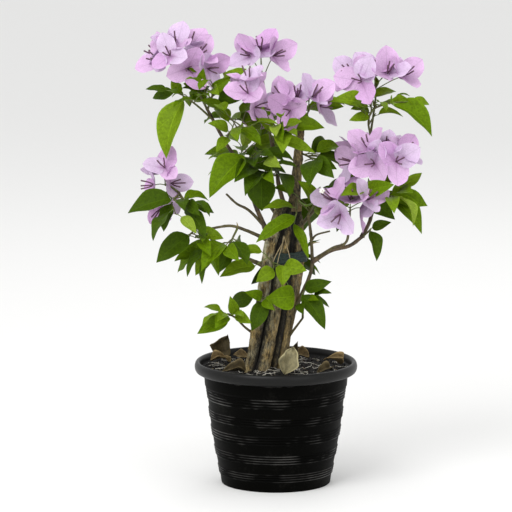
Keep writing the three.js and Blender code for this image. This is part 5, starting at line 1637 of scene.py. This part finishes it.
def cane_radius(index, cane, length):
    """A cane tapers upward, flares at its foot and is fluted."""

    def radius_at(share, angle):
        flare = 1 + FLARE * math.exp(-share * length / FLARE_HEIGHT) - SLIMMER * max(0.0, 1 - share * 2)
        flute = 1 + FLUTE * math.cos(3 * angle + 2 * index + 3 * share)
        at = Vector((share * 9, math.cos(angle) * 1.2, math.sin(angle) * 1.2 + index * 5))
        knots = 1 + KNOTS * noise.noise(at)
        return tapered(cane["girth"], share) / 2 * flare * flute * knots

    return radius_at


def limb_radius(limb, length):
    """A bough tapers, swells where it leaves its parent and at each old leaf scar."""

    def radius_at(share, _angle):
        collar = 1 + COLLAR * math.exp(-share * length / COLLAR_LENGTH)
        scars = 1 + SCARS * max(0.0, math.sin(share * length / SCAR_WAVE)) ** 8
        return tapered(limb["girth"], share) / 2 * collar * scars

    return radius_at


def build_wood(sizes):
    """The canes with the old wood between them, the boughs by their bark, and the thorns."""
    relief = sizes.relief / MM
    furrowed = old_bark(sizes)
    canes = bmesh.new()
    # The relief attribute holds the bark's painted shade, in its grooves and between the canes
    shade_layer = canes.verts.layers.float.new("relief")
    for index, cane in enumerate(CANES):
        radius_at = cane_radius(index, cane, route_length(cane["route"]))
        route = [np.array(cane["route"][0], float) - [0, 0, CANE_ROOT], *cane["route"][1:]]
        # Each cane's bark is darkened near the others as painted shade
        crevice = crevice_between([other for other in CANES if other is not cane])
        bark_rod(
            canes, shade_layer, route, radius_at,
            sides=64, spacing=1.7, relief=relief, seed=index + 1, girth=18, crevice=crevice,
        )
    # The old wood lies deep in the clefts, so most of it is darkened as painted shade
    cleft = crevice_between(CANES)
    for index, core in enumerate(INNER_WOOD):
        radius_at = cane_radius(index, core, route_length(core["route"]))
        bark_rod(
            canes, shade_layer, core["route"], radius_at,
            sides=32, spacing=3, relief=relief * 0.5, seed=index + 7, girth=12, crevice=cleft,
        )
    settle(finish_bmesh(canes, "canes"), "canes", furrowed, "bark", ["trunk"])

    stout_names = [n for n, limb in BOUGHS.items() if limb["girth"][0] > STOUT_FOOT]
    rest = {n: limb for n, limb in BOUGHS.items() if n not in stout_names}
    old_names = [n for n, limb in rest.items() if limb["girth"][1] > BROWN_TIP]
    green_names = [n for n in rest if n not in old_names]
    finishes = [
        ("boughs_stout", stout_names, furrowed, "bark"),
        ("boughs_old", old_names, young_bark("bough_bark", "#2b2116", "#655238"), "bark"),
        ("boughs_green", green_names, young_bark("green_bark", "#3b301b", "#5f5733"), "green_wood"),
    ]
    for piece_name, names, material, slot in finishes:
        shape = bmesh.new()
        shade_layer = shape.verts.layers.float.new("relief")
        for index, name in enumerate(names):
            limb = BOUGHS[name]
            radius_at = limb_radius(limb, route_length(limb["route"]))
            depth = relief * limb["girth"][0] / 24
            bark_rod(
                shape, shade_layer, limb["route"], radius_at,
                sides=24, spacing=2.2, relief=depth, seed=index + 11, girth=9,
            )
        settle(finish_bmesh(shape, piece_name), piece_name, material, slot, names)
    build_thorns()


def build_thorns():
    """Each thorn is a short tapering rod, bent a little upward."""
    thorns = Gathered()
    for name, share, way, length in THORNS:
        foot = along_route(BOUGHS[name]["route"], share)[0]
        out = unit(np.array(way, float))
        route = [foot, foot + out * length * 0.55 + UP * 0.6, foot + out * length]
        twig_rod(thorns, route, THORN_GIRTH, sides=8, spacing=2.5)
    thorns.piece("thorns", young_bark("thorn_wood", "#7a6a44", "#97885c"), "green_wood")


def build_tie():
    """A creased strip of netting wound round the canes, and dry threads that hang over it."""
    shape = bmesh.new()
    bmesh.ops.create_grid(shape, x_segments=160, y_segments=14, size=0.5)
    middle_x, middle_y, middle_z = TIE["centre"]
    slope = math.tan(math.radians(TIE["tilt"]))
    for vert in shape.verts:
        turn, up = vert.co.x * 2 * math.pi, vert.co.y
        ahead, aside = math.cos(turn), math.sin(turn)
        crease = noise.noise(Vector((ahead * 3, aside * 3, up * 7))) * 1.3
        fold = 0.8 * math.sin(up * 19 + 2 * math.sin(turn * 2))
        reach = 1 + (crease + fold) / 26
        x = middle_x + TIE["radii"][0] * reach * ahead
        y = middle_y + TIE["radii"][1] * reach * aside
        ragged = 1.4 * noise.noise(Vector((ahead * 4, aside * 4, 1 if up > 0 else 9)))
        vert.co = (x, y, middle_z + up * TIE["height"] + (x - middle_x) * slope + ragged * up * 2)
    bmesh.ops.remove_doubles(shape, verts=shape.verts, dist=0.01)
    bmesh.ops.recalc_face_normals(shape, faces=shape.faces)
    mesh = finish_bmesh(shape, "netting_band")
    band = settle(mesh, "netting_band", woven_netting(), "tie", ["tie_band"])
    thicken(band, TIE["thickness"])
    threads = Gathered()
    for route in THREADS:
        twig_rod(threads, route, THREAD_GIRTH, sides=6, spacing=4)
    threads.piece("dry_threads", loose_bits("raffia", "#8c7a58", "#b9a883", size_mm=3), "tie")


def build_twigs(sizes):
    """The masses' stems, side twigs and leaf stalks, and the blooms' stalks."""
    plant = plant_now()
    girth = sizes.twig_girth / MM
    twigs, stalks = Gathered(), Gathered()
    for route in plant["stems"]:
        twig_rod(twigs, route, (girth * 1.6, girth * 1.05), sides=8, spacing=5)
    for route in plant["shoots"]:
        twig_rod(twigs, route, (girth, girth * 0.62), sides=6, spacing=6)
    for leaf in plant["leaves"]:
        base = leaf["base"]
        knee = (leaf["root"] + base) / 2 + UP * 0.8
        route = [leaf["root"], knee, base + unit(leaf["tip"] - base) * 1.5]
        twig_rod(stalks, route, STALK_GIRTH, sides=5, spacing=4)
    for bloom in plant["blooms"]:
        knee = bloom["foot"] * 0.45 + bloom["seat"] * 0.55 + UP * 1.5
        twig_rod(stalks, [bloom["foot"], knee, bloom["seat"]], BLOOM_STALK_GIRTH, sides=5, spacing=5)
    twigs.piece("twigs", young_bark("shoot_bark", "#4a4320", "#5f6630"), "green_wood")
    stalks.piece("leaf_stalks", young_bark("stalk_skin", "#4c5a20", "#6d7c34"), "green_wood")


def build_leaves(sizes):
    """The leaves of each tone are one piece, which stands for the masses of that tone."""
    places, faces = grid_template(*LEAF_CELLS)
    tones = {tone: Gathered() for tone in (*TONES, "young")}
    for leaf in plant_now()["leaves"]:
        points = blade_mesh_points(places, leaf, LEAF_OUTLINE, leaf["width"], leaf_lift(leaf))
        tones[leaf["tone"]].take(points, faces, places)
    for tone, gathered in tones.items():
        slot = "leaves_bright" if tone == "young" else f"leaves_{tone}"
        material = living_leaf(f"waxy_leaf_{tone}", getattr(sizes, tone))
        stands_for = [name for name, mass in LEAF_MASSES.items() if mass["tone"] == tone]
        gathered.piece(f"leaves_{tone}_tone", material, slot, stands_for)


def bract_lift(shape, k):
    """A bract is cupped towards the bloom's middle, bends out at its tip, and its margin waves."""
    phase, wave = shape[k], 0.015 + 0.045 * shape[3 + k]
    bend = 0.02 + 0.09 * shape[(k + 5) % 8]

    def lift(u, v):
        cup = 0.12 * v**2 * np.sin(np.pi * u**0.8)
        swell = -0.07 * np.sin(np.pi * u)
        tip = -bend * np.clip(u - 0.5, 0, 1) ** 1.5 * 2
        shift = 2 * np.pi * (1.6 * u + phase) + 1.5 * np.sign(v)
        waves = wave * np.sin(shift) * v**2 * np.sin(np.pi * u)
        ripple = 0.008 * np.sin(2 * np.pi * (2.7 * u + 1.1 * v + phase * 2))
        return cup + swell + tip + waves + ripple

    return lift


def bract_tone(bloom, draw):
    """Half the bracts low in a cluster are deep, a few others too, and the rest are pale or lilac."""
    if draw < (DEEP_LOW if bloom["axis"][2] < 0.1 else DEEP_HIGH):
        return "deep"
    return "pale" if draw > PALE_FROM else "lilac"


def build_blooms(sizes):
    """The bracts of each tone are one piece; the lilac one stands for all the bloom masses."""
    places, faces = grid_template(*BRACT_CELLS)
    tones = {"pale": Gathered(), "lilac": Gathered(), "deep": Gathered()}
    tubes = Gathered()
    roll = dice(BLOOM_SEED)
    for bloom in plant_now()["blooms"]:
        for k, bract in enumerate(bloom_bracts(bloom)):
            tone = bract_tone(bloom, roll())
            width = sizes.width * between(roll, *BRACT_BREADTH)
            points = blade_mesh_points(places, bract, BRACT_OUTLINE, width, bract_lift(bloom["shape"], k))
            tones[tone].take(points, faces, places)
            out = unit(bract["way"] * 0.55 + bloom["axis"])
            foot = bloom["seat"] + bloom["axis"] * 0.5
            mouth = foot + unit(out + 0.3 * bloom["axis"]) * between(roll, *TUBE_LENGTH)
            twig_rod(tubes, [foot, foot + out * 11, mouth], TUBE_GIRTH, sides=7, spacing=3)
    for tone, gathered in tones.items():
        nodes = list(BLOOM_MASSES) if tone == "lilac" else ()
        paper = papery_bract(f"papery_bract_{tone}", getattr(sizes, tone), sizes.throat)
        gathered.piece(f"bracts_{tone}", paper, "bracts", nodes)
    tubes.piece("flower_tubes", flower_skin("flower_tube_skin", sizes.tube), "bracts")
    build_star_flower()


def build_star_flower():
    """The one open flower: a small white star at the mouth of its tube."""
    shape = bmesh.new()
    bmesh.ops.create_circle(shape, cap_ends=True, cap_tris=True, segments=STAR_LOBES * 6, radius=STAR_RADIUS)
    for vert in shape.verts:
        if math.hypot(vert.co.x, vert.co.y) > 0.1:
            turn = math.atan2(vert.co.y, vert.co.x)
            lobe = 0.62 + 0.38 * abs(math.cos(turn * STAR_LOBES / 2))
            vert.co = (vert.co.x * lobe, vert.co.y * lobe, 0.9 * lobe)
    bmesh.ops.rotate(shape, matrix=STAR_FACING.to_track_quat("Z", "Y").to_matrix(), verts=shape.verts)
    bmesh.ops.translate(shape, vec=Vector(STAR_PLACE), verts=shape.verts)
    mesh = finish_bmesh(shape, "star_flower")
    flower = settle(mesh, "star_flower", flower_skin("white_petal", linear("#f2f0e4")), "bracts")
    thicken(flower, STAR_THICKNESS)
    seats = [bloom["seat"] for bloom in plant_now()["blooms"]]
    seat = min(seats, key=lambda place: np.linalg.norm(place - STAR_PLACE))
    tube = Gathered()
    route = [seat, (seat + STAR_PLACE) / 2 + UP, STAR_PLACE]
    twig_rod(tube, route, STAR_TUBE_GIRTH, sides=8, spacing=3)
    tube.piece("star_flower_tube", flower_skin("tube_skin", linear("#8c6f6e")), "bracts")


class BUSH_OT_stage(bpy.types.Operator):
    """Make the floor, the lights and the camera."""

    bl_idname = "bush.stage"
    bl_label = "Stage"

    def execute(self, context):
        studio(context.scene.bush_stage)
        return {"FINISHED"}


class BUSH_OT_pot(bpy.types.Operator):
    """Make the moulded nursery pot."""

    bl_idname = "bush.pot"
    bl_label = "Pot"

    def execute(self, context):
        build_pot(context.scene.bush_pot)
        return {"FINISHED"}


class BUSH_OT_soil(bpy.types.Operator):
    """Make the potting mix with its chips and fibres, and the withered leaves on it."""

    bl_idname = "bush.soil"
    bl_label = "Soil and litter"

    def execute(self, context):
        build_soil(context.scene.bush_pot)
        build_litter()
        return {"FINISHED"}


class BUSH_OT_wood(bpy.types.Operator):
    """Make the canes, the boughs and the thorns."""

    bl_idname = "bush.wood"
    bl_label = "Canes and boughs"

    def execute(self, context):
        build_wood(context.scene.bush_wood)
        return {"FINISHED"}


class BUSH_OT_tie(bpy.types.Operator):
    """Make the netting and the thread that tie the canes."""

    bl_idname = "bush.tie"
    bl_label = "Tie"

    def execute(self, context):
        build_tie()
        return {"FINISHED"}


class BUSH_OT_twigs(bpy.types.Operator):
    """Make the twigs and stalks."""

    bl_idname = "bush.twigs"
    bl_label = "Twigs and stalks"

    def execute(self, context):
        build_twigs(context.scene.bush_wood)
        return {"FINISHED"}


class BUSH_OT_leaves(bpy.types.Operator):
    """Make the leaves, one piece for each tone."""

    bl_idname = "bush.leaves"
    bl_label = "Leaves"

    def execute(self, context):
        build_leaves(context.scene.bush_leaf)
        return {"FINISHED"}


class BUSH_OT_blooms(bpy.types.Operator):
    """Make the bracts, the flower tubes and the open flower."""

    bl_idname = "bush.blooms"
    bl_label = "Blooms"

    def execute(self, context):
        build_blooms(context.scene.bush_bloom)
        return {"FINISHED"}


class BUSH_PT_panel(bpy.types.Panel):
    """Lists the pieces and what can be changed about them."""

    bl_label = "Potted bougainvillea"
    bl_idname = "BUSH_PT_panel"
    bl_space_type = "VIEW_3D"
    bl_region_type = "UI"
    bl_category = "Bougainvillea"

    def draw(self, context):
        for step in STEPS:
            self.layout.operator(step.bl_idname)
        for name, group in GROUPS.items():
            box = self.layout.box()
            for key in group.__annotations__:
                box.prop(getattr(context.scene, name), key)


STEPS = (
    BUSH_OT_stage,
    BUSH_OT_pot,
    BUSH_OT_soil,
    BUSH_OT_wood,
    BUSH_OT_tie,
    BUSH_OT_twigs,
    BUSH_OT_leaves,
    BUSH_OT_blooms,
)
GROUPS = {
    "bush_pot": PotSizes,
    "bush_wood": WoodSizes,
    "bush_leaf": LeafSizes,
    "bush_bloom": BloomSizes,
    "bush_stage": StageSizes,
}


def register():
    for group in GROUPS.values():
        bpy.utils.register_class(group)
    for name, group in GROUPS.items():
        setattr(bpy.types.Scene, name, bpy.props.PointerProperty(type=group))
    for kind in (*STEPS, BUSH_PT_panel):
        bpy.utils.register_class(kind)


def unregister():
    for kind in (BUSH_PT_panel, *reversed(STEPS)):
        bpy.utils.unregister_class(kind)
    for name in GROUPS:
        delattr(bpy.types.Scene, name)
    for group in GROUPS.values():
        bpy.utils.unregister_class(group)


def main():
    register()
    for step in STEPS:
        area, name = step.bl_idname.split(".")
        getattr(getattr(bpy.ops, area), name)()


if __name__ == "__main__":
    main()
